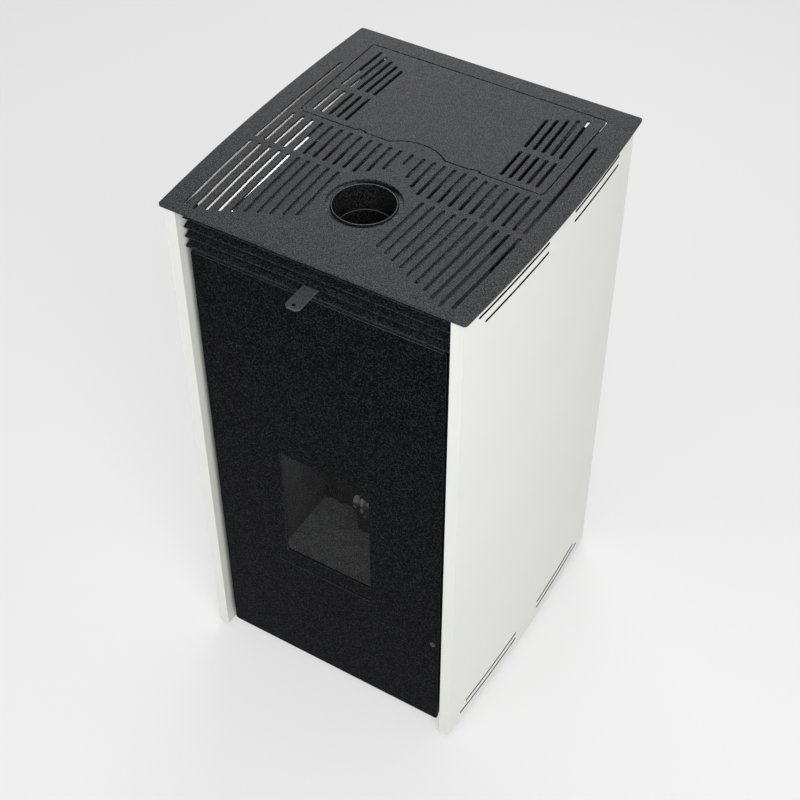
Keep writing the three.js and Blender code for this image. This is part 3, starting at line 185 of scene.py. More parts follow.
def textured_paint(name, dark, light, roughness, specular=0.15, grain=720, flue_shadow=False):
    """Stove paint with a sandy grain of dark body and pale specks; the last flag adds a painted shadow, black
    in front of and behind the flue.
    """
    s = Shader(name, Metallic=0.0, Roughness=roughness, Specular_IOR_Level=specular)
    grains = s.noise(grain, 1.0, 0.5)
    middle = tuple((a * 3 + b) / 4 for a, b in zip(dark, light))
    tone = s.ramp(grains, (0.43, dark), (0.51, middle), (0.59, light))
    if flue_shadow:
        # Painted shadow: black round the flue's top, in front of and behind it.
        clear = s.mix(s.away_from(FLUE_TOP, FLUE_SHADOW_RADIUS), s.beside(FLUE_SHADOW_HALF_WIDTH), (1.0, 1.0, 1.0))
        tone = s.mix(clear, (0.002, 0.002, 0.002), tone)
    cloud = s.ramp(s.noise(9, 2), (0.3, 0.93), (0.75, 1.0))
    s.colour(s.mix(1.0, tone, cloud, "MULTIPLY"))
    s.rough(s.noise(160, 2), roughness - 0.06, roughness + 0.1)
    s.bump(grains, 0.35, 0.25 * MM)
    return s.material


def satin_paint():
    """Warm off-white powder coat with a slight orange peel."""
    s = Shader("off_white_powder_coat", Roughness=0.42, Metallic=0.0)
    cloud = s.noise(5, 3)
    s.colour(s.ramp(cloud, (0.3, (0.74, 0.75, 0.71)), (0.7, (0.765, 0.77, 0.732))))
    s.rough(s.noise(60, 2), 0.38, 0.48)
    s.bump(s.noise(700, 1), 0.08, 0.1 * MM)
    return s.material


def zinc():
    """Galvanised sheet with its spangle."""
    s = Shader("zinc_coated_sheet", Metallic=0.85, Roughness=0.42)
    flakes = s.cells(90, "Color")
    spangle = s.ramp(flakes, (0.2, 0.35), (0.8, 0.65))
    s.colour(s.mix(0.25, (0.33, 0.345, 0.355), spangle, "OVERLAY"))
    s.rough(s.noise(70, 3), 0.34, 0.55)
    s.bump(s.noise(400, 2), 0.05, 0.1 * MM)
    return s.material


def bare_steel():
    """Brushed steel, with the brushing drawn out along the stove's width and depth."""
    s = Shader("bare_steel", Metallic=1.0, Roughness=0.35)
    grain = s.noise(40, 4, 0.7, s.stretched(1, 1, 30))
    s.colour(s.ramp(grain, (0.3, (0.36, 0.365, 0.37)), (0.7, (0.5, 0.5, 0.5))))
    s.rough(grain, 0.28, 0.45)
    s.bump(grain, 0.06, 0.1 * MM)
    return s.material


def cast_iron():
    """Dark pitted iron with patches of pale ash."""
    s = Shader("cast_iron", Metallic=0.6, Roughness=0.7)
    pits = s.noise(330, 4, 0.65)
    ash = s.ramp(s.noise(45, 4, 0.7), (0.45, 0.0), (0.7, 0.55))
    body = s.ramp(pits, (0.3, (0.028, 0.028, 0.03)), (0.7, (0.07, 0.068, 0.066)))
    s.colour(s.mix(ash, body, (0.22, 0.21, 0.2)))
    s.rough(pits, 0.6, 0.85)
    s.bump(pits, 0.5, 0.4 * MM)
    return s.material


def vermiculite():
    """Pressed vermiculite board: tan, with bright and dark flakes, sooted by the fire."""
    s = Shader("vermiculite_board", Roughness=0.95)
    flakes = s.cells(380, "Color")
    body = s.ramp(s.noise(120, 4, 0.7), (0.3, (0.12, 0.1, 0.075)), (0.7, (0.24, 0.2, 0.15)))
    soot = s.ramp(s.noise(14, 3), (0.35, 0.8), (0.7, 0.95))
    s.colour(s.mix(soot, s.mix(0.22, body, flakes, "SOFT_LIGHT"), (0.012, 0.012, 0.0125)))
    s.bump(s.noise(420, 3, 0.6), 0.6, 0.5 * MM)
    return s.material


def sooted_steel():
    """Fire-blackened steel, with pale ash dust on the floor of the firebox."""
    s = Shader("sooted_fire_steel", Metallic=0.0, Roughness=0.8, Specular_IOR_Level=0.2)
    soot = s.noise(22, 4, 0.65)
    walls = s.ramp(soot, (0.3, (0.06, 0.06, 0.061)), (0.7, (0.1, 0.1, 0.1)))
    dust = s.ramp(s.noise(70, 4, 0.7), (0.35, (0.12, 0.12, 0.119)), (0.7, (0.22, 0.219, 0.214)))
    floor_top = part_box("firebox")[0][2] + FIREBOX_SHEET
    body = s.mix(s.above(floor_top + 1 * MM), dust, walls)
    specks = s.ramp(s.noise(430, 1.0, 0.5), (0.42, 0.45), (0.62, 1.0))
    s.colour(s.mix(1.0, body, specks, "MULTIPLY"))
    s.rough(soot, 0.7, 0.9)
    s.bump(s.noise(260, 3), 0.25, 0.3 * MM)
    return s.material


def moulded_plastic():
    s = Shader("moulded_black_plastic", Roughness=0.5)
    grain = s.noise(900, 2)
    s.colour(s.ramp(grain, (0.3, (0.0153, 0.01615, 0.017)), (0.7, (0.018, 0.019, 0.02))))
    s.rough(grain, 0.42, 0.58)
    s.bump(grain, 0.15, 0.1 * MM)
    return s.material


def circuit_board():
    """Green board with lighter tracks between the cells."""
    s = Shader("circuit_board", Roughness=0.4)
    tracks = s.cells(210, "Distance", "DISTANCE_TO_EDGE")
    s.colour(s.ramp(tracks, (0.02, (0.03, 0.2, 0.07)), (0.08, (0.006, 0.07, 0.022))))
    s.bump(tracks, 0.2, 0.1 * MM)
    return s.material


def printed_glass():
    """Ceramic glass with a black enamel print that has a fine pale grain."""
    s = Shader("black_printed_glass", Roughness=0.35, Specular_IOR_Level=0.02)
    grains = s.noise(600, 1.0, 0.5)
    stops = ((0.45, (0.0003, 0.0005, 0.0009)), (0.53, (0.0014, 0.0017, 0.0023)), (0.63, (0.019, 0.02, 0.023)))
    s.colour(s.ramp(grains, *stops))
    s.rough(s.noise(150, 2), 0.28, 0.4)
    s.bump(grains, 0.1, 0.1 * MM)
    return s.material


def glass_bevel_highlight():
    """The glass's bevelled edge, a little lighter than the print: a painted highlight."""
    s = Shader("glass_bevel_painted_highlight", Roughness=0.6, Specular_IOR_Level=0.3)
    grains = s.noise(520, 1.5, 0.6)
    s.colour(s.ramp(grains, (0.35, (0.05, 0.054, 0.053)), (0.7, (0.13, 0.136, 0.134))))
    s.bump(grains, 0.1, 0.1 * MM)
    return s.material


def clear_glass():
    """The smoke-tinted window in the door, see-through from both sides."""
    s = Shader("smoked_window_glass", Roughness=0.0, IOR=1.08, Transmission_Weight=1.0,
               Base_Color=(0.62, 0.63, 0.65, 1))
    s.bump(s.noise(6, 2), 0.02, 0.2 * MM)
    return s.material


def glass_fibre_rope():
    s = Shader("glass_fibre_rope", Roughness=0.92, Sheen_Weight=0.4, Sheen_Roughness=0.5)
    fibres = s.noise(1500, 3, 0.7)
    s.colour(s.ramp(fibres, (0.3, (0.17, 0.155, 0.135)), (0.7, (0.38, 0.36, 0.32))))
    s.bump(fibres, 0.5, 0.3 * MM)
    return s.material


def ash_grey():
    s = Shader("wood_ash", Roughness=0.98)
    lumps = s.noise(160, 4, 0.7)
    s.colour(s.ramp(lumps, (0.3, (0.24, 0.235, 0.225)), (0.7, (0.5, 0.49, 0.475))))
    s.bump(lumps, 0.8, 1.2 * MM)
    return s.material


def pressed_wood():
    s = Shader("pressed_wood_pellet", Roughness=0.7)
    grain = s.noise(500, 4, 0.7)
    s.colour(s.ramp(grain, (0.3, (0.17, 0.14, 0.105)), (0.7, (0.36, 0.31, 0.25))))
    s.bump(grain, 0.4, 0.3 * MM)
    return s.material


# Each paint: name, dark body, pale specks, roughness, then the specular level and the grain's scale.
ANTHRACITE = textured_paint("anthracite_textured_paint", (0.005, 0.0052, 0.0062), (0.075, 0.077, 0.082), 0.5)
# A lighter copy of the anthracite paint: painted light on the shaded sheets seen through the top slots, with
# a painted shadow round the flue.
UNDER_SLOTS_LIGHT_AND_SHADOW = textured_paint("sheet_below_slots_painted_light_and_shadow", (0.02, 0.0206, 0.023), (0.13, 0.133, 0.14), 0.55, flue_shadow=True)
TAB = textured_paint("grey_pull_paint", (0.06, 0.061, 0.063), (0.12, 0.122, 0.127), 0.5, 0.15, 900)
BLACK = textured_paint("black_stove_paint", (0.003, 0.0032, 0.0037), (0.034, 0.035, 0.038), 0.6, 0.08, 560)
FLUE_BLACK = textured_paint("black_flue_paint", (0.002, 0.002, 0.0022), (0.03, 0.031, 0.033), 0.7, 0.05, 620)
# Painted highlight: bright beads on the flue collar's lip and on its stop ring.
HIGHLIGHT_GREY = textured_paint("painted_edge_highlight", (0.09, 0.092, 0.095), (0.16, 0.163, 0.168), 0.5, 0.3, 900)
# Grey for a printed line, and for painted highlights on the glass's top edge and the lowest louvre slat.
PRINT_AND_HIGHLIGHT_GREY = textured_paint("grey_print_and_painted_highlight", (0.02, 0.0205, 0.021), (0.05, 0.051, 0.053), 0.5, 0.2, 900)
# Painted shade: black put in the slots and in the pull's hole, where there is only shade.
SHADE_BLACK = textured_paint("painted_shade_black", (0.002, 0.002, 0.0022), (0.006, 0.006, 0.0064), 0.8, 0.05, 900)
OFF_WHITE = satin_paint()
ZINC = zinc()
STEEL = bare_steel()
IRON = cast_iron()
BOARD = vermiculite()
FIRE_STEEL = sooted_steel()
PLASTIC = moulded_plastic()
CIRCUIT = circuit_board()
PRINT = printed_glass()
BEVEL_HIGHLIGHT = glass_bevel_highlight()
CLEAR = clear_glass()
ROPE = glass_fibre_rope()
ASH = ash_grey()
WOOD = pressed_wood()

LOOKS = {
    ANTHRACITE: ["top_plate", "hopper_lid"],
    TAB: ["scraper_pull", "latch_spindle"],
    UNDER_SLOTS_LIGHT_AND_SHADOW: ["convection_jacket", "hopper"],
    OFF_WHITE: ["left_side_panel", "right_side_panel"],
    BLACK: ["back_panel", "front_louvre", "front_frame", "door_frame",
            "door_hinge_bracket_lower", "door_hinge_bracket_upper",
            "lid_hinge_arm_left", "lid_hinge_arm_right",
            "lid_hinge_bracket_left", "lid_hinge_bracket_right", "pellet_chute"],
    FLUE_BLACK: ["flue_collar"],
    ZINC: ["base_pan", "ash_compartment", "ash_drawer", "extractor_housing", "hopper_funnel",
           "hopper_throat", "auger_tube", "blower_housing", "air_intake_pipe"],
    STEEL: ["lid_hinge_pin_left", "lid_hinge_pin_right", "door_hinge_pin_lower", "door_hinge_pin_upper",
            "latch_keeper", "igniter", "exchanger_fins", "scraper_comb", "extractor_impeller",
            "hopper_grid", "auger_screw", "blower_rotor"],
    IRON: ["burn_pot"],
    BOARD: ["back_lining", "baffle_plate"],
    FIRE_STEEL: ["firebox", "smoke_box"],
    PLASTIC: ["levelling_foot_1", "levelling_foot_2", "levelling_foot_3", "levelling_foot_4",
              "extractor_motor", "auger_gearmotor", "blower_motor", "power_inlet", "power_switch",
              "safety_thermostat"],
    CIRCUIT: ["control_board"],
}
for look, names in LOOKS.items():
    for name in names:
        for slot in nodes[name].material_slots:
            slot.material = look


# ---------------------------------------------------------------- mesh helpers

def finish_mesh(name, bm, material, body, smooth=True):
    """Makes the mesh a piece of one material that moves with a body of the stove."""
    bmesh.ops.recalc_face_normals(bm, faces=bm.faces)
    mesh = bpy.data.meshes.new(name)
    bm.to_mesh(mesh)
    bm.free()
    mesh.materials.append(material)
    if smooth:
        mesh.shade_smooth()
    piece = bpy.data.objects.new(name, mesh)
    bpy.context.collection.objects.link(piece)
    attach(piece, body)
    return piece


def soften(piece, width, segments=2, angle=35):
    """A fine rounded edge wherever two faces meet at more than the angle."""
    bevel = piece.modifiers.new("edge", "BEVEL")
    bevel.width = width
    bevel.segments = segments
    bevel.limit_method = "ANGLE"
    bevel.angle_limit = math.radians(angle)
    return piece


def circle(across, up, radius, count):
    """Points round a centre, in the two directions of its plane."""
    turns = [math.tau * k / count for k in range(count)]
    return [(across + radius * math.cos(turn), up + radius * math.sin(turn)) for turn in turns]


def rounded(x0, x1, z0, z1, radius, sides):
    """Corner points of a rectangle with round corners, in (x, z)."""
    centres = [(x1 - radius, z0 + radius, -90), (x1 - radius, z1 - radius, 0),
               (x0 + radius, z1 - radius, 90), (x0 + radius, z0 + radius, 180)]
    ring = []
    for cx, cz, start in centres:
        for k in range(sides + 1):
            angle = math.radians(start + 90 * k / sides)
            ring.append((cx + radius * math.cos(angle), cz + radius * math.sin(angle)))
    return ring


def bridge(bm, rings, closed=False):
    """Quads from each ring of points to the next one, and from the last to the first if closed."""
    count = len(rings[0])
    followers = rings[1:] + rings[:1] if closed else rings[1:]
    for a, b in zip(rings, followers):
        for k in range(count):
            following = (k + 1) % count
            bm.faces.new((a[k], a[following], b[following], b[k]))


def pane(name, outer, holes, front, back, material, body):
    """A flat sheet in the plane of the door with round-cornered holes."""
    curve = bpy.data.curves.new(name, "CURVE")
    curve.dimensions = "2D"
    curve.fill_mode = "BOTH"
    curve.extrude = (back - front) / 2
    for ring in [outer, *holes]:
        spline = curve.splines.new("POLY")
        spline.points.add(len(ring) - 1)
        for point, (x, z) in zip(spline.points, ring):
            point.co = (x, z, 0, 1)
        spline.use_cyclic_u = True
    holder = bpy.data.objects.new(name + "_outline", curve)
    bpy.context.collection.objects.link(holder)
    bpy.context.view_layer.update()
    evaluated = holder.evaluated_get(bpy.context.evaluated_depsgraph_get())
    mesh = bpy.data.meshes.new_from_object(evaluated)
    bpy.data.objects.remove(holder)
    mesh.transform(Matrix.Rotation(math.radians(90), 4, "X"))
    mesh.transform(Matrix.Translation((0, (front + back) / 2, 0)))
    bm = bmesh.new()
    bm.from_mesh(mesh)
    bmesh.ops.remove_doubles(bm, verts=bm.verts, dist=1e-5)
    bpy.data.meshes.remove(mesh)
    return finish_mesh(name, bm, material, body, smooth=False)


def bead(name, points, radius, material, body, closed=False):
    """A thin round bead that follows a line of points in one level."""
    turns = [math.tau * k / 8 for k in range(8)]
    last = len(points) - 1
    bm = bmesh.new()
    rings = []
    for i, point in enumerate(points):
        before = Vector(points[i - 1 if closed or i else 0])
        after = Vector(points[(i + 1) % len(points) if closed else min(i + 1, last)])
        along = (after - before).normalized()
        out = along.cross(Vector((0, 0, 1))).normalized()
        up = out.cross(along).normalized()
        ring = [Vector(point) + (out * math.cos(turn) + up * math.sin(turn)) * radius for turn in turns]
        rings.append([bm.verts.new(place) for place in ring])
    bridge(bm, rings, closed)
    if not closed:
        bm.faces.new(rings[0])
        bm.faces.new(rings[-1])
    piece = finish_mesh(name, bm, material, body)


# Real edges are never sharp: sheet metal and castings get a fine rounded edge, its width in mm.
EDGES = {
    0.5: ["top_plate", "hopper_lid", "scraper_pull", "burn_pot", "flue_collar"],
    0.35: ["left_side_panel", "right_side_panel", "front_louvre", "door_frame", "front_frame", "back_panel"],
}
for width, names in EDGES.items():
    for name in names:
        soften(nodes[name], width * MM, angle=50)


# ---------------------------------------------------------------- door glass

WINDOW = (-71 * MM, 71 * MM, 260 * MM, 463 * MM)
WINDOW_CORNER = 1.5 * MM
WINDOW_GAP = 0.02 * MM              # between the window and the print round it
WINDOW_SINK = 0.3 * MM              # how far the window's faces lie inside the print's
GLASS_CORNER = 5 * MM
SPINDLE_RADIUS = 4 * MM
SPINDLE_HOLE = 4.6 * MM
glass_low, glass_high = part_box("door_glass")
spindle_low, spindle_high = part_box("latch_spindle")


def door_glass():
    """One sheet of glass: a printed black border and the clear window inside it."""
    outer = rounded(glass_low[0], glass_high[0], glass_low[2], glass_high[2], GLASS_CORNER, 8)
    spindle_x = (spindle_low[0] + spindle_high[0]) / 2
    hole = circle(spindle_x, spindle_high[2] - SPINDLE_RADIUS, SPINDLE_HOLE, 24)
    window = rounded(*WINDOW, WINDOW_CORNER, 3)
    border = pane("door_glass_print", outer, [window, hole], glass_low[1], glass_high[1], PRINT, "door")
    # The bevel faces of the printed border take the painted highlight.
    border.data.materials.append(BEVEL_HIGHLIGHT)
    soften(border, 0.8 * MM).modifiers["edge"].material = 1
    x0, x1, z0, z1 = WINDOW
    inner = rounded(x0 + WINDOW_GAP, x1 - WINDOW_GAP, z0 + WINDOW_GAP, z1 - WINDOW_GAP, WINDOW_CORNER, 3)
    middle = pane("door_glass_window", inner, [], glass_low[1] + WINDOW_SINK, glass_high[1] - WINDOW_SINK,
                  CLEAR, "door")
    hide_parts("door_glass")


# ---------------------------------------------------------------- door rope

def door_rope():
    """Braided rope: a round section with three lays that wind round it."""
    corner = 12 * MM
    step = 2.2 * MM
    windings = 90
    sides = 18
    low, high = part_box("door_gasket")
    radius = (high[1] - low[1]) / 2
    centre_y = (high[1] + low[1]) / 2
    path = rounded(low[0] + radius, high[0] - radius, low[2] + radius, high[2] - radius, corner, 8)
    dense = []
    for (ax, az), (bx, bz) in zip(path, path[1:] + path[:1]):
        length = math.hypot(bx - ax, bz - az)
        count = max(1, round(length / step))
        dense += [(ax + (bx - ax) * k / count, az + (bz - az) * k / count) for k in range(count)]
    bm = bmesh.new()
    rings = []
    total = len(dense)
    for i, (x, z) in enumerate(dense):
        bx, bz = dense[i - 1]
        ax, az = dense[(i + 1) % total]
        along = Vector((ax - bx, 0, az - bz)).normalized()
        out = Vector((along.z, 0, -along.x))
        twist = math.tau * windings * i / total
        ring = []
        for k in range(sides):
            angle = math.tau * k / sides
            lay = abs(math.sin(1.5 * angle + twist)) * abs(math.cos(1.5 * angle - twist))
            r = radius * (0.9 + 0.1 * lay)
            place = Vector((x, centre_y, z)) + out * r * math.cos(angle) + Vector((0, r * math.sin(angle), 0))
            ring.append(bm.verts.new(place))
        rings.append(ring)
    bridge(bm, rings, closed=True)
    rope = finish_mesh("door_rope", bm, ROPE, "door")
    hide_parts("door_gasket")


# ---------------------------------------------------------------- painted highlights, painted shade and small hardware

def flue_lines():
    """Painted highlights: bright beads on the inner lip of the collar and on the edge of its stop ring."""
    lip_radius, lip_rise = 40.5 * MM, 0.1 * MM
    stop_radius, stop_height = 36.4 * MM, 802.2 * MM
    x, y, z = FLUE_TOP
    lip = [(px, py, z + lip_rise) for px, py in circle(x, y, lip_radius, 72)]
    bead("flue_lip_highlight", lip, 0.45 * MM, HIGHLIGHT_GREY, "casing", closed=True)
    stop = [(px, py, stop_height) for px, py in circle(x, y, stop_radius, 72)]
    bead("flue_stop_highlight", stop, 0.5 * MM, HIGHLIGHT_GREY, "casing", closed=True)


def glass_lines():
    """Painted highlights along the glass's top edge and the lowest slat, and the printed line below the
    window.
    """
    inset, below_top = 4 * MM, 2.6 * MM
    line_left, line_right, line_height = -87 * MM, 70 * MM, 229 * MM
    lip_inset = 0.2 * MM
    front = glass_low[1]
    edge_height = glass_high[2] - below_top
    edge = [(x, front, edge_height) for x in (glass_low[0] + inset, glass_high[0] - inset)]
    bead("glass_edge", edge, 0.5 * MM, PRINT_AND_HIGHLIGHT_GREY, "door")
    line = [(x, front, line_height) for x in (line_left, line_right)]
    bead("printed_line", line, 0.3 * MM, PRINT_AND_HIGHLIGHT_GREY, "door")
    louvre_low, louvre_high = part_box("front_louvre")
    lip = [(x, louvre_low[1] + lip_inset, louvre_low[2] + lip_inset) for x in (louvre_low[0], louvre_high[0])]
    bead("louvre_lip_highlight", lip, 0.45 * MM, PRINT_AND_HIGHLIGHT_GREY, "casing")


def pull_hole_shade():
    """Painted shade: a black sleeve in the hole of the scraper pull."""
    outer, inner, height = 2.58 * MM, 2.1 * MM, 2.6 * MM
    hole_inset = 6.5 * MM
    low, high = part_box("scraper_pull")
    x = (low[0] + high[0]) / 2
    y = low[1] + hole_inset
    top = high[2] - 0.2 * MM
    bottom = top - height
    bm = bmesh.new()
    rings = []
    for radius, level in ((outer, top), (outer, bottom), (inner, bottom), (inner, top)):
        rings.append([bm.verts.new((px, py, level)) for px, py in circle(x, y, radius, 24)])
    bridge(bm, rings, closed=True)
    piece = finish_mesh("pull_hole_shade", bm, SHADE_BLACK, "scraper", smooth=False)


def panel_face(y):
    """The outer face of a side panel, as its distance from the middle plane."""
    return PANEL_HALF - PANEL_BOW * ((y - MIDDLE_Y) / PANEL_HALF_DEPTH) ** 2


def slot_shade_strips():
    """Painted shade: a black strip behind the lower rows of slots, and behind the right panel's upper ones.
    """
    behind = 1.55 * MM
    thick = 0.2 * MM
    front_end, length, steps = -203, 380, 24
    strips = [("left_lower", -1, 24, 51), ("right_lower", 1, 24, 51), ("right_upper", 1, 797, 828)]
    for place, side, bottom, top in strips:
        bm = bmesh.new()
        columns = []
        for k in range(steps + 1):
            y = MIDDLE_Y + (front_end + length * k / steps) * MM
            x = panel_face(y) - behind
            section = ((x, bottom), (x - thick, bottom), (x - thick, top), (x, top))
            columns.append([bm.verts.new((side * px, y, pz * MM)) for px, pz in section])
        bridge(bm, columns)
        bm.faces.new(columns[0])
        bm.faces.new(columns[-1])
        piece = finish_mesh("slot_shade_strips_" + place, bm, SHADE_BLACK, "casing", smooth=False)


# Slots of a side panel in mm: height, then the front and back end as seen from its middle.
PANEL_SLOTS = [
    (821.5, -197.0, -34.0), (821.5, 35.0, 170.0), (806.5, -183.0, -34.0), (806.5, 35.0, 170.0),
    (44.5, -184.0, -34.0), (44.5, 35.0, 172.0), (30.5, -199.0, -34.0), (30.5, 35.0, 187.0),
]


def slot_shade_edging():
    """Painted shade: black edging in every slot of the side panels."""
    rim, depth, least_half = 0.4, 1.5, 0.3
    half, corner, steps = 2.0, 1.0, 20
    for side, side_name in ((-1, "left"), (1, "right")):
        bm = bmesh.new()
        for z, front, back in PANEL_SLOTS:
            straight = back - front - 2 * corner
            lower = [(front + corner + straight * k / steps, -half) for k in range(steps + 1)]
            upper = [(y, half) for y, _ in reversed(lower)]
            outline = lower + [(back, -corner), (back, corner)] + upper + [(front, corner), (front, -corner)]
            rings = []
            for inset, sunk in ((0.0, 0.0), (0.0, depth), (rim, depth), (rim, 0.0)):
                ring = []
                for y, rise in outline:
                    nearer = min(max(y, front + inset), back - inset)
                    py = MIDDLE_Y + nearer * MM
                    pz = (z + math.copysign(max(abs(rise) - inset, least_half), rise)) * MM
                    ring.append(bm.verts.new((side * (panel_face(py) - sunk * MM), py, pz)))
                rings.append(ring)
            bridge(bm, rings, closed=True)
        piece = finish_mesh(f"slot_shade_edging_{side_name}", bm, SHADE_BLACK, "casing", smooth=False)


def back_screws():
    """Round-headed screws with a cross recess: down the panels' flanges and along the back panel's ends."""
    flange_inset, top_inset, bottom_inset = 7 * MM, 8 * MM, 9 * MM
    head = ((4.0, -0.1), (4.0, 0.5), (3.3, 1.4), (1.9, 2.0))        # radius and height in mm
    recess_arm, recess_waist, recess_floor = 1.5, 0.5, 1.1
    sides = 16
    low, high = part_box("back_panel")
    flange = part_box("left_side_panel")[1][1]
    places = [(side * (high[0] - flange_inset), flange, z * MM)
              for side in (-1, 1) for z in (40, 230, 420, 610, 790)]
    places += [(x * MM, high[1], high[2] - top_inset) for x in (-90, 0, 90)]
    places += [(x * MM, high[1], low[2] + bottom_inset) for x in (-60, 60, 140)]
    spokes = circle(0, 0, 1, sides)
    cross = [recess_arm if k % 4 == 0 else recess_waist for k in range(sides)]
    outlines = [([radius] * sides, rise) for radius, rise in head] + [(cross, recess_floor)]
    bm = bmesh.new()
    for x, face, z in places:
        rings = []
        for radii, rise in outlines:
            rings.append([bm.verts.new((x + radius * MM * u, face + rise * MM, z + radius * MM * v))
                          for radius, (u, v) in zip(radii, spokes)])
        bridge(bm, rings)
        bm.faces.new(rings[-1])
        bm.faces.new(rings[0])
    screws = finish_mesh("back_panel_screws", bm, STEEL, "casing", smooth=False)


# ---------------------------------------------------------------- fuel and ash

def jitter(place):
    """A smooth noise vector that is the same in every run: one noise read at three places."""
    return Vector([noise.noise(place + Vector((shift, shift, shift))) for shift in (0.0, 31.4, 62.8)])


def fuel_in_pot():
    """Pellets that wait in the burn pot, and the ash crust on its rim."""
    pellets, heap_half, heap_rise = 90, 27 * MM, 14 * MM
    below_rim = 22 * MM
    low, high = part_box("burn_pot")
    middle_y = (low[1] + high[1]) / 2 - 4 * MM
    draw = random.Random(11)
    bm = bmesh.new()
    for k in range(pellets):
        x = draw.uniform(-25, 25) * MM
        y = middle_y + draw.uniform(-15, 15) * MM
        tilt = math.radians(90 + draw.uniform(-25, 25))
        turn = Euler((tilt, 0, draw.uniform(0, math.pi))).to_matrix().to_4x4()
        length = draw.uniform(12, 20) * MM
        rise = heap_rise * (1 - (x / heap_half) ** 2) * (k / pellets)
        matrix = Matrix.Translation((x, y, high[2] - below_rim + rise)) @ turn
        bmesh.ops.create_cone(bm, cap_ends=True, segments=7, radius1=3 * MM, radius2=3 * MM * 0.96,
                              depth=length, matrix=matrix)
    heap = finish_mesh("pellets_in_pot", bm, WOOD, "pot", smooth=False)
    soften(heap, 0.4 * MM, 1, 50)
    # The lumps of the crust in mm: centre and half sizes.
    lumps = (((-33, -84, 258), (5.5, 6, 15)), ((-22, -86, 257), (4, 5, 17)), ((-27, -78, 250), (6, 6, 9)))
    bm = bmesh.new()
    for centre, sizes in lumps:
        matrix = Matrix.Translation(Vector(centre) * MM) @ Matrix.Diagonal((*(v * MM for v in sizes), 1))
        bmesh.ops.create_icosphere(bm, subdivisions=3, radius=1.0, matrix=matrix)
    lump_relief, lump_detail = 1.6 * MM, 240
    for vert in bm.verts:
        vert.co += jitter(vert.co * lump_detail) * lump_relief
    crust = finish_mesh("ash_crust_on_pot", bm, ASH, "pot")


def ash_in_drawer():
    """A closed heap of ash with a level underside and an uneven top."""
    wall_gap, floor_gap, heap_rise = 4 * MM, 2.2 * MM, 16 * MM
    y0, y1 = -185 * MM, -50 * MM
    across, along = 20, 16
    low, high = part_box("ash_drawer")
    x0, x1 = low[0] + wall_gap, high[0] - wall_gap
    base = low[2] + floor_gap
    bm = bmesh.new()
    top = []
    for j in range(along + 1):
        row = []
        for i in range(across + 1):
            u, v = i / across, j / along
            dome = (1 - (2 * u - 1) ** 4) * (1 - (2 * v - 1) ** 4)
            rough = noise.fractal(Vector((u * 6, v * 6, 3.0)), 1.0, 2.0, 3)
            level = base + 1 * MM + heap_rise * dome * (0.75 + 0.25 * rough)
            row.append(bm.verts.new((x0 + (x1 - x0) * u, y0 + (y1 - y0) * v, level)))
        top.append(row)
    for a, b in zip(top, top[1:]):
        for i in range(across):
            bm.faces.new((a[i], a[i + 1], b[i + 1], b[i]))
    rim = top[0] + [row[-1] for row in top[1:]] + top[-1][-2::-1] + [row[0] for row in top[-2:0:-1]]
    feet = [bm.verts.new((v.co.x, v.co.y, base)) for v in rim]
    for k in range(len(rim)):
        following = (k + 1) % len(rim)
        bm.faces.new((rim[k], feet[k], feet[following], rim[following]))
    bm.faces.new(feet)
    piece = finish_mesh("ash_in_drawer", bm, ASH, "drawer")


door_glass()
door_rope()
flue_lines()
glass_lines()
pull_hole_shade()
slot_shade_strips()
slot_shade_edging()
fuel_in_pot()
ash_in_drawer()
back_screws()


# ---------------------------------------------------------------- floor, light, camera

def seen_directly(tree):
    """1 for rays from the camera, from a mirror or through glass, and 0 for light that reaches surfaces."""
    rays = tree.nodes.new("ShaderNodeLightPath")
    total = rays.outputs["Is Camera Ray"]
    for kind in ("Is Glossy Ray", "Is Transmission Ray"):
        larger = tree.nodes.new("ShaderNodeMath")
        larger.operation = "MAXIMUM"
        tree.links.new(total, larger.inputs[0])
        tree.links.new(rays.outputs[kind], larger.inputs[1])
        total = larger.outputs[0]
    return total


def stage():
    """A pale matt floor that glows a little where the camera sees it, and still takes the shadow."""
    bpy.ops.mesh.primitive_plane_add(size=FLOOR_SIZE, location=(0, 0, 0))
    floor = bpy.context.object
    floor.name = "studio_floor"
    grey = (FLOOR_GREY, FLOOR_GREY, FLOOR_GREY, 1)
    s = Shader("studio_floor", Roughness=1.0, Base_Color=grey, Specular_IOR_Level=0.0)
    glow = s.tree.nodes.new("ShaderNodeEmission")
    glow.inputs["Color"].default_value = (1, 1, 1, 1)
    glow.inputs["Strength"].default_value = FLOOR_GLOW
    share = s.tree.nodes.new("ShaderNodeMath")
    share.operation = "MULTIPLY"
    share.inputs[1].default_value = FLOOR_GLOW_SHARE
    s.link(seen_directly(s.tree), share.inputs[0])
    blend = s.tree.nodes.new("ShaderNodeMixShader")
    s.link(share.outputs[0], blend.inputs[0])
    s.link(s.bsdf.outputs[0], blend.inputs[1])
    s.link(glow.outputs[0], blend.inputs[2])
    s.link(blend.outputs[0], s.tree.nodes["Material Output"].inputs["Surface"])
    floor.data.materials.append(s.material)


def area(name, place, aim, power, size, depth=None):
    """An area lamp, square unless its depth is given: places and sizes in metres, power in watts."""
    lamp = bpy.data.lights.new(name, "AREA")
    lamp.size = size
    if depth:
        lamp.shape = "RECTANGLE"
        lamp.size_y = depth
    lamp.energy = power
    holder = bpy.data.objects.new(name, lamp)
    holder.location = place
    holder.rotation_euler = (Vector(aim) - Vector(place)).to_track_quat("-Z", "Y").to_euler()
    holder.visible_camera = False
    bpy.context.collection.objects.link(holder)


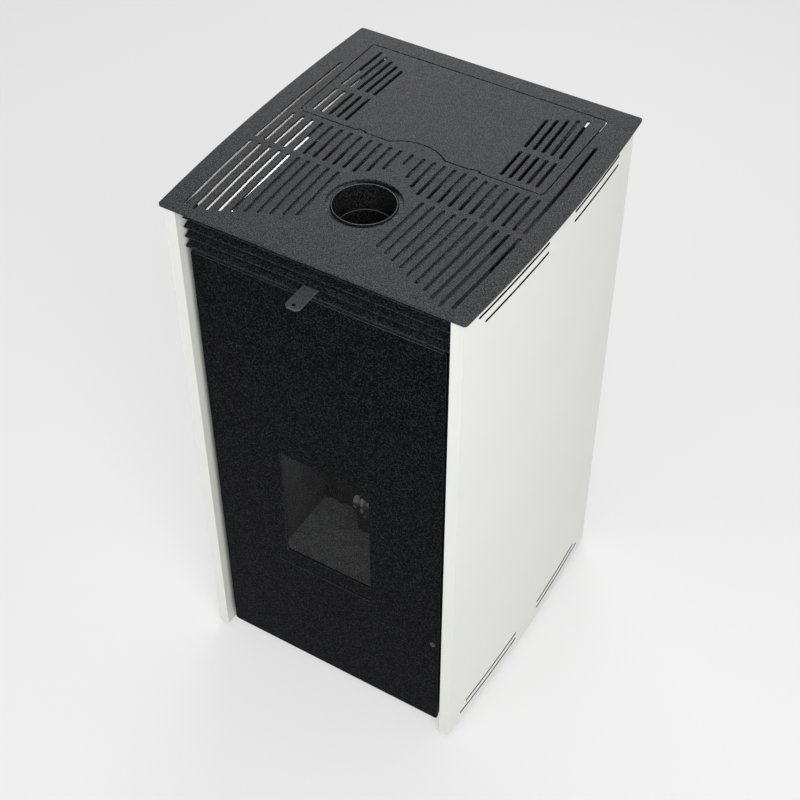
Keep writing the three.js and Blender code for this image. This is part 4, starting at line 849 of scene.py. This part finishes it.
def world_light():
    world = bpy.data.worlds.new("studio")
    world.use_nodes = True
    tree = world.node_tree
    background = tree.nodes["Background"]
    background.inputs["Color"].default_value = (1, 1, 1, 1)
    strength = tree.nodes.new("ShaderNodeMapRange")
    strength.inputs["To Min"].default_value = WORLD_LIGHT
    strength.inputs["To Max"].default_value = BACKDROP
    tree.links.new(seen_directly(tree), strength.inputs["Value"])
    tree.links.new(strength.outputs["Result"], background.inputs["Strength"])
    bpy.context.scene.world = world


def studio_lamps():
    area("key_light", (1.5, -1.65, 2.35), (0, 0, 0.45), power=42, size=1.3)
    area("front_fill", (-1.1, -2.1, 0.5), (-0.1, 0, 0.35), power=11, size=1.2)
    area("side_fill", (2.5, -1.2, 1.2), (0, 0, 0.4), power=14, size=1.6)
    area("rear_light", (-0.8, 1.55, 2.0), (0, 0.1, 0.84), power=16, size=1.2)


def inner_lamps():
    """Weak lamps inside the casing: between each side panel and the jacket, and over the fire."""
    left_low, left_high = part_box("left_side_panel")
    place = (left_low[0] + 40 * MM, 0, left_high[2] - 140 * MM)
    aim = (left_low[0], 0, left_high[2] - 100 * MM)
    area("left_cavity_light", place, aim, power=0.3, size=0.38, depth=0.06)
    right_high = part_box("right_side_panel")[1]
    jacket_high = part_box("convection_jacket")[1]
    lamp_y = -30 * MM
    place = (right_high[0] - 45 * MM, lamp_y, right_high[2] - 100 * MM)
    aim = (jacket_high[0], lamp_y, right_high[2] - 60 * MM)
    area("right_cavity_light", place, aim, power=0.03, size=0.3, depth=0.05)
    fire_low, fire_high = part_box("firebox")
    fire_y = (fire_low[1] + fire_high[1]) / 2 - 10 * MM
    place = (0, fire_y, fire_high[2] - 70 * MM)
    area("window_light", place, (0, fire_y, fire_low[2]), power=0.13, size=0.1, depth=0.05)


def camera():
    data = bpy.data.cameras.new("camera")
    data.sensor_width = SENSOR
    data.lens = PICTURE_FOCAL / PICTURE * SENSOR
    holder = bpy.data.objects.new("camera", data)
    holder.location = CAMERA_PLACE
    towards = (CAMERA_AIM - CAMERA_PLACE).to_track_quat("-Z", "Y").to_matrix()
    holder.rotation_euler = (towards @ Matrix.Rotation(CAMERA_ROLL, 3, "Z")).to_euler()
    bpy.context.collection.objects.link(holder)
    bpy.context.scene.camera = holder


stage()
world_light()
studio_lamps()
inner_lamps()
camera()
bpy.context.scene.view_settings.view_transform = "Standard"
